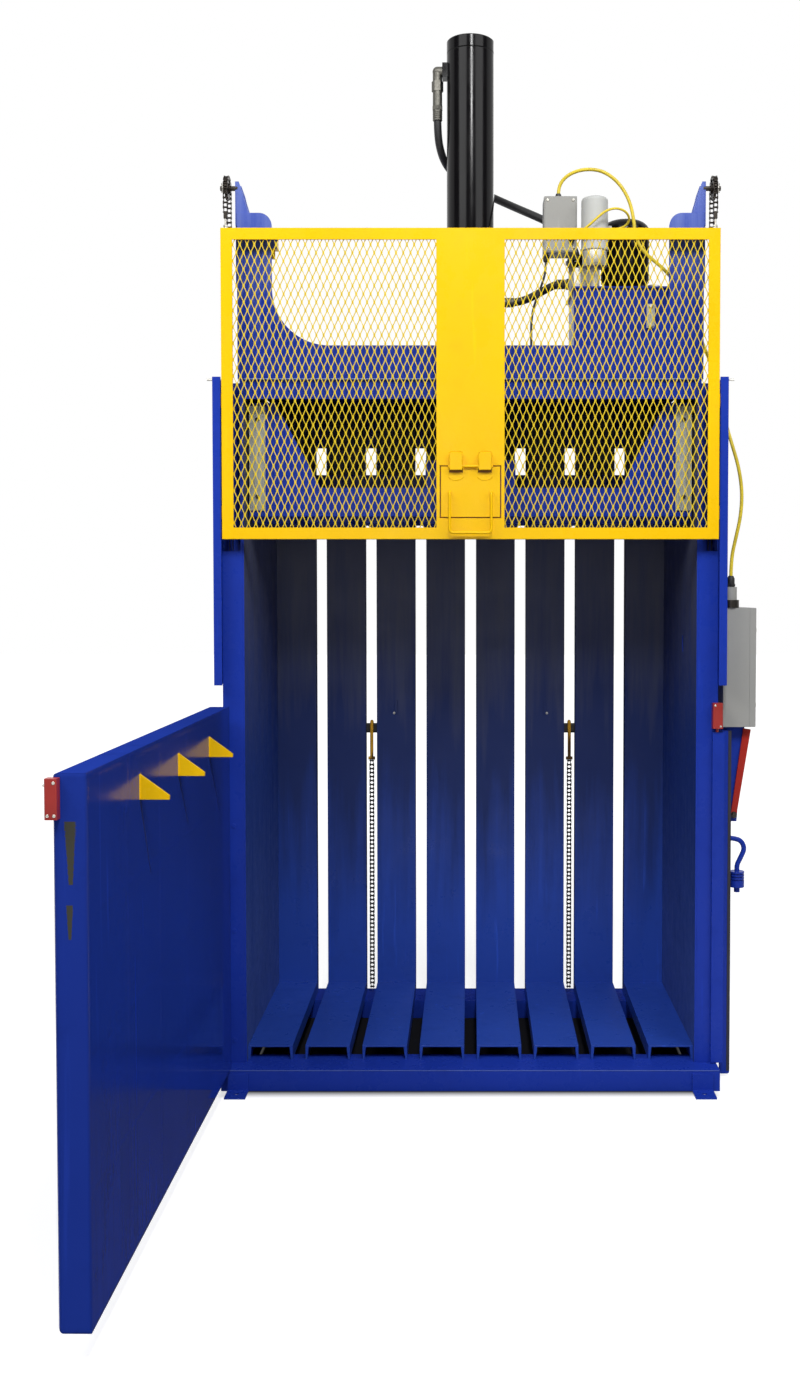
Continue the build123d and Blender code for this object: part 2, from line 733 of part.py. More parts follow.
def build_latch_channel():
    """Upright receiver for the door's free edge, with the plate that carries the latch lever."""
    front = Y_FRONT - LATCH_FRONT_REACH
    tail = Y_FRONT + LATCH_TAIL_SETBACK
    web_x = LATCH_OUTSIDE - LATCH_PLATE
    plate_y = Y_FRONT + LEVER_PLATE_SETBACK
    with BuildPart() as latch:
        block(LATCH_INSIDE, LATCH_OUTSIDE, front, front + LATCH_PLATE, LATCH_BOTTOM, LATCH_TOP)
        block(web_x, LATCH_OUTSIDE, front, tail + LATCH_PLATE, LATCH_BOTTOM, LATCH_TOP)
        with BuildSketch(facing_front(tail + LATCH_PLATE)) as flange:
            Polygon(
                (web_x, LATCH_BOTTOM),
                (web_x, LATCH_TOP),
                (LATCH_TAIL_X, LATCH_TOP),
                (LATCH_TAIL_X, LATCH_TAIL_BOTTOM),
                (LATCH_OUTSIDE, LATCH_TAIL_BOTTOM),
                (LATCH_OUTSIDE, LATCH_BOTTOM),
                align=None,
            )
            corner = flange.vertices().group_by(Axis.Y)[0]
            fillet(corner, LATCH_PLATE)
        extrude(amount=LATCH_PLATE)
        half_lug = LATCH_LUG_LENGTH / 2
        for z in LATCH_LUG_HEIGHTS:
            block(POST_OUT, web_x, Y_FRONT, tail, z - half_lug, z + half_lug)
        plate_bottom = LEVER_PIVOT_Z - LEVER_PIN * 2
        block(web_x, LATCH_OUTSIDE, tail, plate_y + LATCH_PLATE, plate_bottom, LATCH_TOP)
        with BuildSketch(facing_front(plate_y + LATCH_PLATE)):
            Polygon(
                (web_x, plate_bottom),
                (LEVER_PIVOT_X + LEVER_PIN, plate_bottom),
                (LEVER_PIVOT_X + LEVER_PIN * 3, LATCH_TOP),
                (web_x, LATCH_TOP),
                align=None,
            )
        extrude(amount=LATCH_PLATE)
        pin_front = plate_y - LEVER_DEPTH * 1.5
        along_y(LEVER_PIVOT_X, pin_front, plate_y, LEVER_PIVOT_Z, LEVER_PIN)
        block(
            LATCH_TAIL_X - CONDUIT_DIAMETER,
            LATCH_TAIL_X,
            tail + LATCH_PLATE,
            CONDUIT_Y + CONDUIT_DIAMETER / 2,
            FITTING_BOTTOM + FITTING_TIP_LENGTH + FITTING_RIB,
            FITTING_BOTTOM + FITTING_TIP_LENGTH + FITTING_BODY / 2,
        )
    save("latch_channel", latch.part)


def build_latch_lever():
    """Tapered red hand lever on its pin, leaning outwards."""
    plate_y = Y_FRONT + LEVER_PLATE_SETBACK
    lean = math.radians(LEVER_LEAN)
    up = Vector(math.sin(lean), 0, math.cos(lean))
    plane = Plane(
        origin=(LEVER_PIVOT_X, plate_y - PISTON_GAP, LEVER_PIVOT_Z),
        x_dir=(up.Z, 0, -up.X),
        z_dir=(0, -1, 0),
    )
    with BuildPart() as lever:
        with BuildSketch(plane):
            Circle(LEVER_ROOT_WIDTH / 2)
            Polygon(
                (-LEVER_ROOT_WIDTH / 2, 0),
                (LEVER_ROOT_WIDTH / 2, 0),
                (LEVER_TIP_WIDTH / 2, LEVER_LENGTH),
                (-LEVER_TIP_WIDTH / 2, LEVER_LENGTH),
                align=None,
            )
            Circle(LEVER_PIN / 2 + RUNNING_GAP, mode=Mode.SUBTRACT)
        extrude(amount=LEVER_DEPTH)
    save("latch_lever", lever.part)


def build_header_yoke():
    """U-shaped front plate above the chamber, with the arms and axles of the gate sprockets."""
    half_opening = YOKE_HALF_WIDTH - YOKE_EAR_WIDTH
    with BuildPart() as yoke:
        with BuildSketch(facing_front(Y_FRONT + YOKE_PLATE)) as outline:
            Polygon(
                (-YOKE_HALF_WIDTH, FRAME_TOP),
                (YOKE_HALF_WIDTH, FRAME_TOP),
                (YOKE_HALF_WIDTH, YOKE_TOP),
                (half_opening, YOKE_TOP),
                (half_opening, DECK_TOP),
                (-half_opening, DECK_TOP),
                (-half_opening, YOKE_TOP),
                (-YOKE_HALF_WIDTH, YOKE_TOP),
                align=None,
            )
            inner = [v for v in outline.vertices() if abs(abs(v.X) - half_opening) < 1]
            fillet([v for v in inner if abs(v.Y - DECK_TOP) < 1], YOKE_CORNER)
            inner = [v for v in outline.vertices() if abs(abs(v.X) - half_opening) < 1]
            fillet([v for v in inner if abs(v.Y - YOKE_TOP) < 1], YOKE_EAR_RADIUS)
        extrude(amount=YOKE_PLATE)
        back = Y_FRONT + YOKE_PLATE
        ear_foot = YOKE_TOP - YOKE_EAR_RADIUS
        flange_top = YOKE_TOP - YOKE_CORNER / 2
        first_drop, second_drop = ARM_SHOULDER_DROPS
        for side in (-1, 1):
            edge = side * YOKE_HALF_WIDTH
            inner_edge = edge - side * YOKE_PLATE
            block(edge, inner_edge, back, back + YOKE_FLANGE_DEPTH, FRAME_TOP, flange_top)
            outside = side * ARM_OUTSIDE
            web = side * (ARM_OUTSIDE - ARM_PLATE)
            block(outside, web, back, back + ARM_DEPTH, ARM_FOOT, ARM_TOP)
            for near, foot in ((back - ARM_PLATE, ear_foot), (back + ARM_DEPTH - ARM_PLATE, ARM_FOOT)):
                with BuildSketch(facing_front(near + ARM_PLATE)):
                    Polygon(
                        (outside, foot),
                        (side * ARM_INSIDE, foot),
                        (side * ARM_INSIDE, YOKE_TOP),
                        (side * (ARM_OUTSIDE - ARM_SHOULDER), ARM_TOP - second_drop),
                        (side * (ARM_OUTSIDE - ARM_SHOULDER + ARM_CREST / 2), ARM_TOP - first_drop),
                        (side * (ARM_OUTSIDE - ARM_CREST), ARM_TOP),
                        (outside, ARM_TOP),
                        align=None,
                    )
                extrude(amount=ARM_PLATE)
            axle_end = side * (SPROCKET_X + AXLE_REACH)
            along_x(web, axle_end, SPROCKET_Y, SPROCKET_Z, AXLE_DIAMETER)
        wide, deep, tall = CATCH_SIZE
        catch_x = -half_opening - CATCH_LAP
        catch_z = YOKE_TOP - CATCH_DROP - tall
        block(catch_x, catch_x + wide, back, back + deep, catch_z, catch_z + tall)
        diameter, length = CATCH_PIN
        upright(catch_x + wide / 2, back + deep / 2, catch_z - length, catch_z, diameter)
    save("header_yoke", yoke.part)


def build_header_deck():
    """Welded top box: deck plate, lintel, rear plate and the beams that carry the cylinder."""
    front = Y_FRONT + YOKE_PLATE
    rear = Y_REAR + DECK_PLATE
    under = DECK_TOP - DECK_PLATE
    inner = WALL_OUT - 2 * DECK_PLATE
    with BuildPart() as deck:
        block(-WALL_OUT, WALL_OUT, front, rear, under, DECK_TOP)
        block(-WALL_OUT, WALL_OUT, front, front + DECK_PLATE, FRAME_TOP, under)
        block(-WALL_OUT, WALL_OUT, Y_REAR, rear, SLOT_TOP, under)
        block(-HALF_CHAMBER, HALF_CHAMBER, front, front + LINTEL_PLATE, LINTEL_BOTTOM, FRAME_TOP)
        for side in (-1, 1):
            block(side * inner, side * (inner + DECK_PLATE), front, rear, FRAME_TOP, under)
            beam = side * DECK_BEAM_SPACING / 2
            block(
                -inner,
                inner,
                beam - DECK_BEAM_WIDTH / 2,
                beam + DECK_BEAM_WIDTH / 2,
                FRAME_TOP,
                under,
            )
            block(
                -inner,
                inner,
                beam - DECK_BEAM_WIDTH / 2 + DECK_PLATE,
                beam + DECK_BEAM_WIDTH / 2 - DECK_PLATE,
                FRAME_TOP,
                under,
                mode=Mode.SUBTRACT,
            )
        upright(0, 0, FRAME_TOP, DECK_TOP, CYLINDER_DIAMETER + 2 * PISTON_GAP, mode=Mode.SUBTRACT)
    save("header_deck", deck.part)


def build_cylinder():
    """Hydraulic cylinder: hollow barrel, cap, gland, flange, port blocks and hose fittings."""
    bore = CYLINDER_BORE / 2
    wall = CYLINDER_DIAMETER / 2
    flange_top = DECK_TOP + FLANGE_THICKNESS
    groove = CYLINDER_TOP - CYLINDER_CAP_GROOVE
    depth = CAP_GROOVE_DEPTH
    with BuildPart() as cylinder:
        with BuildSketch(Plane.XZ):
            Polygon(
                (ROD_OUTSIDE / 2 + RUNNING_GAP, CYLINDER_BOTTOM),
                (wall, CYLINDER_BOTTOM),
                (wall, groove),
                (wall - depth, groove + depth),
                (wall, groove + 2 * depth),
                (wall, CYLINDER_TOP - CAP_EDGE),
                (wall - CAP_EDGE, CYLINDER_TOP),
                (0, CYLINDER_TOP),
                (0, CYLINDER_TOP - CYLINDER_CAP),
                (bore, CYLINDER_TOP - CYLINDER_CAP),
                (bore, CYLINDER_BOTTOM + GLAND_THICKNESS),
                (ROD_OUTSIDE / 2 + RUNNING_GAP, CYLINDER_BOTTOM + GLAND_THICKNESS),
                align=None,
            )
        revolve(axis=Axis.Z)
        with BuildSketch(Plane.XY.offset(DECK_TOP)):
            Rectangle(FLANGE_SIZE, FLANGE_SIZE)
            Circle(wall - FLANGE_LAP, mode=Mode.SUBTRACT)
        extrude(amount=FLANGE_THICKNESS)
        with BuildSketch(Plane.XY.offset(flange_top)):
            with GridLocations(FLANGE_BOLT_SPACING, FLANGE_BOLT_SPACING, 2, 2):
                RegularPolygon(FLANGE_BOLT_HEAD / 2, 6)
        extrude(amount=FLANGE_BOLT_HEAD / 2)
        half = PORT_BLOCK / 2
        for side, z in ((-1, UPPER_PORT_HEIGHT), (1, LOWER_PORT_HEIGHT)):
            near = side * (wall - PORT_SADDLE)
            block(near, side * PORT_FACE, -half, half, z - half, z + half)
        along_x(ELBOW_X, -PORT_FACE, 0, UPPER_PORT_HEIGHT, ELBOW_DIAMETER)
        with Locations((ELBOW_X, 0, UPPER_PORT_HEIGHT)):
            Sphere(ELBOW_DIAMETER / 2)
        upright(ELBOW_X, 0, ELBOW_BOTTOM, UPPER_PORT_HEIGHT, HOSE_TAIL_DIAMETER)
        with BuildSketch(Plane.XY.offset(UPPER_PORT_HEIGHT - NUT_DROP - NUT_LENGTH)):
            with Locations((ELBOW_X, 0)):
                RegularPolygon(NUT_SIZE / 2, 6)
        extrude(amount=NUT_LENGTH)
        tail = PORT_FACE + HOSE_TAIL_LENGTH
        along_x(PORT_FACE, tail, 0, LOWER_PORT_HEIGHT, HOSE_TAIL_DIAMETER)
        with BuildSketch(facing_side(PORT_FACE)):
            with Locations((0, LOWER_PORT_HEIGHT)):
                RegularPolygon(NUT_SIZE / 2, 6)
        extrude(amount=LOCK_NUT)
    save("cylinder", cylinder.part)


def platen_top():
    """Height of the platen's cross plate, which the rod stands on."""
    return PLATEN_REAR_TOP + PLATEN_PLATE


def build_ram_rod():
    """Piston, rod and the flange that bolts to the platen."""
    radius = ROD_OUTSIDE / 2
    piston_top = CYLINDER_TOP - CYLINDER_CAP - PISTON_TOP_GAP
    piston = CYLINDER_BORE / 2 - PISTON_GAP
    with BuildPart() as rod:
        with BuildSketch(Plane.XZ):
            Polygon(
                (0, platen_top()),
                (ROD_OUTSIDE, platen_top()),
                (ROD_OUTSIDE, platen_top() + PLATEN_PLATE * 2),
                (radius, platen_top() + PLATEN_PLATE * 2),
                (radius, piston_top - PISTON_LENGTH),
                (piston, piston_top - PISTON_LENGTH),
                (piston, piston_top),
                (0, piston_top),
                align=None,
            )
        revolve(axis=Axis.Z)
    save("ram_rod", rod.part)


def build_platen():
    """Welded press plate: notched front, lower rear plate, ribs, core and tie runners."""
    front = Y_FRONT + PLATEN_SETBACK
    back = Y_BACK - PLATEN_BACK_GAP
    top_of_plate = PLATEN_BOTTOM + PLATEN_PLATE
    half = PLATEN_HALF_WIDTH
    side_x = half - PLATEN_PLATE
    core_x = PLATEN_CORE_WIDTH / 2
    core_y = PLATEN_CORE_DEPTH / 2
    notch_z = PLATEN_BOTTOM + PLATEN_BAND
    with BuildPart() as platen:
        block(-half, half, front, back, PLATEN_BOTTOM, top_of_plate)
        with BuildSketch(facing_front(front + PLATEN_PLATE)):
            Polygon(
                (-half, PLATEN_BOTTOM),
                (half, PLATEN_BOTTOM),
                (half, PLATEN_SHOULDER),
                (PLATEN_NOTCH_TOP / 2, PLATEN_SHOULDER),
                (PLATEN_NOTCH_BOTTOM / 2, notch_z),
                (-PLATEN_NOTCH_BOTTOM / 2, notch_z),
                (-PLATEN_NOTCH_TOP / 2, PLATEN_SHOULDER),
                (-half, PLATEN_SHOULDER),
                align=None,
            )
        extrude(amount=PLATEN_PLATE)
        block(-half, half, back - PLATEN_PLATE, back, top_of_plate, PLATEN_REAR_TOP)
        for side in (-1, 1):
            with BuildSketch(facing_side(side * half if side < 0 else side_x)):
                Polygon(
                    (front, top_of_plate),
                    (back, top_of_plate),
                    (back, PLATEN_REAR_TOP),
                    (front + PLATEN_PLATE, PLATEN_SHOULDER),
                    (front, PLATEN_SHOULDER),
                    align=None,
                )
            extrude(amount=PLATEN_PLATE)
            core_face, core_back = side * core_y, side * (core_y - PLATEN_PLATE)
            block(-side_x, side_x, core_face, core_back, top_of_plate, notch_z)
            block(-core_x, core_x, core_face, core_back, notch_z, PLATEN_REAR_TOP)
            core_side, core_inside = side * core_x, side * (core_x - PLATEN_PLATE)
            block(
                core_side,
                core_inside,
                front + PLATEN_PLATE,
                back - PLATEN_PLATE,
                top_of_plate,
                notch_z,
            )
            block(core_side, core_inside, -core_y, core_y, notch_z, PLATEN_REAR_TOP)
        block(-core_x, core_x, -core_y, core_y, PLATEN_REAR_TOP, platen_top())
        upright(0, 0, top_of_plate, PLATEN_REAR_TOP, ROD_OUTSIDE)
        for index in range(1, CHANNEL_COUNT - 1):
            rib = channel_x(index) - PLATEN_RIB / 2
            block(
                rib,
                rib + PLATEN_RIB,
                front + PLATEN_PLATE,
                back - PLATEN_PLATE,
                top_of_plate,
                notch_z,
            )
        runner_bottom = PLATEN_BOTTOM - RUNNER_THICKNESS
        for index in range(CHANNEL_COUNT):
            x = channel_x(index)
            left = max(x - CHANNEL_WIDTH / 2, -half)
            right = min(x + CHANNEL_WIDTH / 2, half)
            block(left, right, front + RUNNER_SETBACK, back, runner_bottom, PLATEN_BOTTOM)
    save("platen", platen.part)


def build_wear_strips():
    """Two bolted wear strips on the platen's front face."""
    front = Y_FRONT + PLATEN_SETBACK
    outside = PLATEN_HALF_WIDTH - WEAR_EDGE_GAP
    with BuildPart() as strips:
        for side in (-1, 1):
            block(
                side * outside,
                side * (outside - WEAR_WIDTH),
                front - WEAR_THICKNESS,
                front,
                WEAR_BOTTOM,
                WEAR_TOP,
            )
        for x in (-outside + WEAR_WIDTH / 2, outside - WEAR_WIDTH / 2):
            for z in (WEAR_BOTTOM + WEAR_BOLT_INSET, WEAR_TOP - WEAR_BOLT_INSET):
                face = front - WEAR_THICKNESS
                along_y(x, face - WEAR_BOLT_HEAD, face, z, WEAR_BOLT)
    save("wear_strips", strips.part)


def door_plane(angle=DOOR_OPEN_ANGLE):
    """The door's own plane at the hinge: local x along the door, local y towards the chamber."""
    hinge_x, hinge_y = hinge_axis()
    turn = math.radians(-angle)
    return Plane(
        origin=(hinge_x, hinge_y, 0),
        x_dir=(math.cos(turn), math.sin(turn), 0),
        z_dir=(0, 0, 1),
    )


def build_door():
    """Ribbed door pan with rounded outer edges, three retainer dogs and lift-off hinge barrels."""
    start = DOOR_END_OFFSET
    end = start + DOOR_LENGTH
    face = DOOR_FACE_OFFSET
    outer = face - DOOR_THICKNESS
    floor = face - DOOR_PLATE
    clear_length = DOOR_LENGTH - 2 * DOOR_RIM - (DOOR_BAYS_ALONG - 1) * DOOR_RIB
    clear_height = DOOR_TOP - DOOR_BOTTOM - 2 * DOOR_RIM - (DOOR_BAYS_UP - 1) * DOOR_RIB
    bay_length = clear_length / DOOR_BAYS_ALONG
    bay_height = clear_height / DOOR_BAYS_UP
    with BuildPart(door_plane()) as door:
        block(start, end, outer, face, DOOR_BOTTOM, DOOR_TOP)
        outer_edges = door.faces().filter_by(
            lambda f: abs(abs(f.normal_at().dot(door_plane().y_dir)) - 1) < 1e-6
        )
        outer_face = min(outer_edges, key=lambda f: f.center().dot(door_plane().y_dir))
        fillet(outer_face.edges(), DOOR_EDGE_RADIUS)
        for column in range(DOOR_BAYS_ALONG):
            for row in range(DOOR_BAYS_UP):
                x0 = start + DOOR_RIM + column * (bay_length + DOOR_RIB)
                z0 = DOOR_BOTTOM + DOOR_RIM + row * (bay_height + DOOR_RIB)
                block(
                    x0,
                    x0 + bay_length,
                    outer,
                    floor,
                    z0,
                    z0 + bay_height,
                    mode=Mode.SUBTRACT,
                )
        for index in range(3):
            middle = DOG_FIRST + index * DOG_SPACING
            here = door_plane()
            dog_plane = Plane(
                origin=here.from_local_coords((middle - DOG_PLATE / 2, 0, 0)),
                x_dir=here.y_dir,
                z_dir=here.x_dir,
            )
            with BuildSketch(dog_plane):
                Polygon(
                    (face, DOG_BOTTOM),
                    (face + DOG_REACH, DOG_BOTTOM),
                    (face + DOG_REACH, DOG_BOTTOM + DOG_TIP),
                    (face, DOG_BOTTOM + DOG_HEIGHT),
                    align=None,
                )
            extrude(amount=DOG_PLATE)
        for z in HINGE_HEIGHTS:
            low = z + HINGE_KNUCKLE + PISTON_GAP
            high = z + 2 * HINGE_KNUCKLE
            upright(0, 0, low, high, HINGE_BARREL)
            block(0, start, -HINGE_BARREL / 2, -HINGE_BARREL / 2 + DOOR_RIB, low, high)
            upright(0, 0, low, high, HINGE_PIN + 2 * RUNNING_GAP, mode=Mode.SUBTRACT)
    save("door", door.part)


def build_door_actuator():
    """Coded actuator of the door switch, on the door's free end."""
    along, across, tall = ACTUATOR_SIZE
    end = DOOR_END_OFFSET + DOOR_LENGTH
    outer = DOOR_FACE_OFFSET - DOOR_THICKNESS - ACTUATOR_OVERHANG
    with BuildPart(door_plane()) as actuator:
        block(end, end + along, outer, outer + across, ACTUATOR_BOTTOM, ACTUATOR_BOTTOM + tall)
        fillet(actuator.edges().filter_by(Axis.Z), SENSOR_ROUND)
    save("door_actuator", actuator.part)


def build_door_switch():
    """Switch body that the door's actuator meets, on the right post."""
    width, depth, tall = SENSOR_SIZE
    with BuildPart() as switch:
        block(
            SENSOR_X - width / 2,
            SENSOR_X + width / 2,
            Y_FRONT - depth,
            Y_FRONT,
            SENSOR_BOTTOM,
            SENSOR_BOTTOM + tall,
        )
        fillet(switch.edges().filter_by(Axis.Z), SENSOR_ROUND)
        diameter, length = SENSOR_GLAND
        upright(SENSOR_X, Y_FRONT - depth / 2, SENSOR_BOTTOM - length, SENSOR_BOTTOM, diameter)
    save("door_switch", switch.part)


def build_gate():
    """Angle-iron gate with a centre panel, flap ears and slide blocks, and its two mesh panels."""
    front = GATE_Y
    back = GATE_Y + GATE_ANGLE
    inner_x = HALF_GATE - GATE_ANGLE
    panel_x = GATE_PANEL_WIDTH / 2
    window_z = (GATE_BOTTOM + GATE_ANGLE, GATE_TOP - GATE_ANGLE)
    pivot_z = FLAP_TOP + FLAP_PIVOT_RISE
    pivot_y = flap_pivot_y()
    with BuildPart() as gate:
        block(-HALF_GATE, HALF_GATE, front, back, GATE_BOTTOM, GATE_TOP)
        block(
            GATE_PLATE - HALF_GATE,
            HALF_GATE - GATE_PLATE,
            front + GATE_PLATE,
            back,
            GATE_BOTTOM + GATE_PLATE,
            GATE_TOP - GATE_PLATE,
            mode=Mode.SUBTRACT,
        )
        edge = FLAP_WIDTH / 2 + FLAP_EDGE_GAP
        block(
            -edge,
            edge,
            front,
            front + GATE_PLATE,
            FLAP_BOTTOM - FLAP_EDGE_GAP,
            pivot_z + FLAP_EDGE_GAP,
            mode=Mode.SUBTRACT,
        )
        ear_middle = pivot_z + FLAP_ROD_DIAMETER * 2
        for side in (-1, 1):
            near, far = side * panel_x, side * inner_x
            block(near, far, front, front + GATE_PLATE, *window_z, mode=Mode.SUBTRACT)
            for z in SLIDE_BLOCK_HEIGHTS:
                block(
                    side * HALF_GATE,
                    side * (HALF_GATE + SLIDE_BLOCK_REACH),
                    back - SLIDE_BLOCK_DEPTH,
                    back,
                    z - SLIDE_BLOCK_LENGTH / 2,
                    z + SLIDE_BLOCK_LENGTH / 2,
                )
            ear = side * FLAP_EAR_CENTRE
            block(
                ear - FLAP_EAR_WIDTH / 2,
                ear + FLAP_EAR_WIDTH / 2,
                front - FLAP_EAR_DEPTH,
                front,
                ear_middle - FLAP_EAR_HEIGHT / 2,
                ear_middle + FLAP_EAR_HEIGHT / 2,
            )
        bore = FLAP_ROD_DIAMETER + 2 * FLAP_GAP
        along_x(-FLAP_WIDTH, FLAP_WIDTH, pivot_y, pivot_z, bore, mode=Mode.SUBTRACT)
    save("gate_frame", gate.part)
    width = inner_x - panel_x
    height = window_z[1] - window_z[0]
    step_x = width / MESH_COLUMNS
    step_z = height / MESH_ROWS
    hole_x = (step_x - MESH_STRAND) / 2
    hole_z = (step_z - MESH_STRAND * 2) / 2
    for side, name in ((-1, "gate_mesh_left"), (1, "gate_mesh_right")):
        centre = (side * (panel_x + inner_x) / 2, (window_z[0] + window_z[1]) / 2)
        with BuildPart() as mesh:
            with BuildSketch(facing_front(front + GATE_PLATE + MESH_THICKNESS)):
                with Locations(centre):
                    Rectangle(width + 2 * MESH_LAP, height + 2 * MESH_LAP)
                diamond = [(hole_x, 0), (0, hole_z), (-hole_x, 0), (0, -hole_z)]
                for columns, rows in (
                    (MESH_COLUMNS, MESH_ROWS),
                    (MESH_COLUMNS - 1, MESH_ROWS - 1),
                ):
                    with Locations(centre):
                        with GridLocations(step_x, step_z, columns, rows):
                            Polygon(*diamond, mode=Mode.SUBTRACT)
            extrude(amount=MESH_THICKNESS)
        save(name, mesh.part)


def flap_pivot_y():
    """Depth of the flap's hinge rod, in front of the gate."""
    return GATE_Y - FLAP_ROD_STANDOFF - FLAP_ROD_DIAMETER / 2


def build_gate_flap():
    """Small flap in the gate's hatch, notched round the ears, with its hinge rod and a handle."""
    pivot_z = FLAP_TOP + FLAP_PIVOT_RISE
    pivot_y = flap_pivot_y()
    front = GATE_Y + FLAP_GAP
    back = front + FLAP_PLATE
    half = FLAP_WIDTH / 2
    web = FLAP_EAR_CENTRE - FLAP_EAR_WIDTH / 2 - FLAP_WEB_GAP
    past_ear = FLAP_EAR_CENTRE + FLAP_EAR_WIDTH / 2 + FLAP_WEB_GAP
    handle_y = front - HANDLE_STANDOFF
    leg = HANDLE_WIDTH / 2
    with BuildPart() as flap:
        block(-half, half, front, back, FLAP_BOTTOM, FLAP_TOP)
        rod_end = FLAP_EAR_CENTRE + FLAP_EAR_WIDTH / 2 + FLAP_ROD_LAP
        along_x(-rod_end, rod_end, pivot_y, pivot_z, FLAP_ROD_DIAMETER)
        for x0, x1 in ((-half, -past_ear), (-web, web), (past_ear, half)):
            block(x0, x1, front, back, FLAP_TOP, pivot_z)
        block(-web, web, pivot_y, front, pivot_z - FLAP_ROD_DIAMETER / 2, pivot_z)
        with BuildLine() as bent:
            FilletPolyline(
                (-leg, front, HANDLE_TOP),
                (-leg, handle_y, HANDLE_TOP),
                (-leg, handle_y, HANDLE_BOTTOM),
                (leg, handle_y, HANDLE_BOTTOM),
                (leg, handle_y, HANDLE_TOP),
                (leg, front, HANDLE_TOP),
                radius=HANDLE_BEND,
            )
        path = bent.wires()[0]
        with BuildSketch(Plane(origin=path @ 0, z_dir=path % 0)):
            Circle(HANDLE_ROD / 2)
        sweep(path=path)
    save("gate_flap", flap.part)


def build_sprockets():
    """Toothed chain wheels that turn on the header's axles."""
    seat = CHAIN_ROLLER + SPROCKET_SEAT_GAP
    tip = SPROCKET_RADIUS + SPROCKET_TIP
    mouth = seat + SPROCKET_TOOTH_WIDENING
    mouth_reach = SPROCKET_TIP + SPROCKET_MOUTH_LAP
    for side, name in ((-1, "sprocket_left"), (1, "sprocket_right")):
        centre = Plane(origin=(side * SPROCKET_X, SPROCKET_Y, SPROCKET_Z), x_dir=(0, 0, 1), z_dir=(1, 0, 0))
        with BuildPart() as wheel:
            with BuildSketch(centre.offset(-SPROCKET_THICKNESS / 2)):
                Circle(tip)
                with PolarLocations(SPROCKET_RADIUS, SPROCKET_TEETH):
                    Circle(seat, mode=Mode.SUBTRACT)
                    Polygon(
                        (0, -seat),
                        (mouth_reach, -mouth),
                        (mouth_reach, mouth),
                        (0, seat),
                        align=None,
                        mode=Mode.SUBTRACT,
                    )
            extrude(amount=SPROCKET_THICKNESS)
            with BuildSketch(centre.offset(-SPROCKET_HUB_WIDTH / 2)):
                Circle(SPROCKET_HUB_DIAMETER / 2)
            extrude(amount=SPROCKET_HUB_WIDTH)
            with BuildSketch(centre.offset(-SPROCKET_HUB_WIDTH / 2)):
                Circle(AXLE_DIAMETER / 2 + AXLE_GAP)
            extrude(amount=SPROCKET_HUB_WIDTH, mode=Mode.SUBTRACT)
        save(name, wheel.part)


def chain_band():
    """One row of side plates over the sprocket, from the gate's rod to the counterweight."""
    low = SPROCKET_RADIUS - CHAIN_PLATE_HEIGHT / 2
    high = SPROCKET_RADIUS + CHAIN_PLATE_HEIGHT / 2
    with Locations((SPROCKET_Y, SPROCKET_Z)):
        Circle(high)
        Circle(low, mode=Mode.SUBTRACT)
        with Locations((0, -high)):
            Rectangle(2 * high, 2 * high, mode=Mode.SUBTRACT)
    for y, bottom in zip(CHAIN_Y, (ROD_TOP, WEIGHT_TOP)):
        with Locations((y, (SPROCKET_Z + bottom) / 2)):
            Rectangle(CHAIN_PLATE_HEIGHT, SPROCKET_Z - bottom)


def build_gate_chains():
    """Roller chains over the sprockets: threaded rod to the gate, plain run down to the weight."""
    for side, name in ((-1, "gate_chain_left"), (1, "gate_chain_right")):
        x = side * SPROCKET_X
        near = x - CHAIN_INSIDE / 2
        far = x + CHAIN_INSIDE / 2
        front_y, back_y = CHAIN_Y
        rollers = []
        for step in range(-3, 4):
            angle = math.pi / 2 + step * 2 * math.pi / SPROCKET_TEETH
            rollers.append(
                (
                    SPROCKET_Y + SPROCKET_RADIUS * math.cos(angle),
                    SPROCKET_Z + SPROCKET_RADIUS * math.sin(angle),
                )
            )
        first = SPROCKET_Z - CHAIN_PITCH / 2
        front_count = int((first - ROD_TOP) / CHAIN_PITCH)
        back_count = int((first - CHAIN_ENTRY) / CHAIN_PITCH)
        rollers += [(front_y, first - k * CHAIN_PITCH) for k in range(front_count)]
        rollers += [(back_y, first - k * CHAIN_PITCH) for k in range(back_count)]
        with BuildPart() as chain:
            for plate_x in (near - CHAIN_PLATE, far):
                with BuildSketch(facing_side(plate_x)):
                    chain_band()
                extrude(amount=CHAIN_PLATE)
            with BuildSketch(facing_side(near - CHAIN_PLATE / 2)):
                with Locations(*rollers):
                    RegularPolygon(CHAIN_ROLLER, 8)
            extrude(amount=CHAIN_INSIDE + CHAIN_PLATE)
            half = CHAIN_PLATE_HEIGHT / 2
            block(near, far, front_y - half, front_y + half, ROD_TOP - half, ROD_TOP + half)
            upright(x, front_y, GATE_TOP, ROD_TOP, ROD_DIAMETER)
            block(near, far, back_y - half, back_y + half, WEIGHT_TOP, WEIGHT_TOP + 2 * half)
        save(name, chain.part)


def build_counterweights():
    """Steel bars in the front posts that balance the gate."""
    for side, name in ((-1, "counterweight_left"), (1, "counterweight_right")):
        with BuildPart() as weight:
            with BuildSketch(Plane.XY.offset(WEIGHT_TOP - WEIGHT_LENGTH)):
                with Locations((side * SPROCKET_X, CHAIN_Y[1])):
                    RectangleRounded(WEIGHT_WIDTH, WEIGHT_DEPTH, WEIGHT_ROUND)
            extrude(amount=WEIGHT_LENGTH)
        save(name, weight.part)


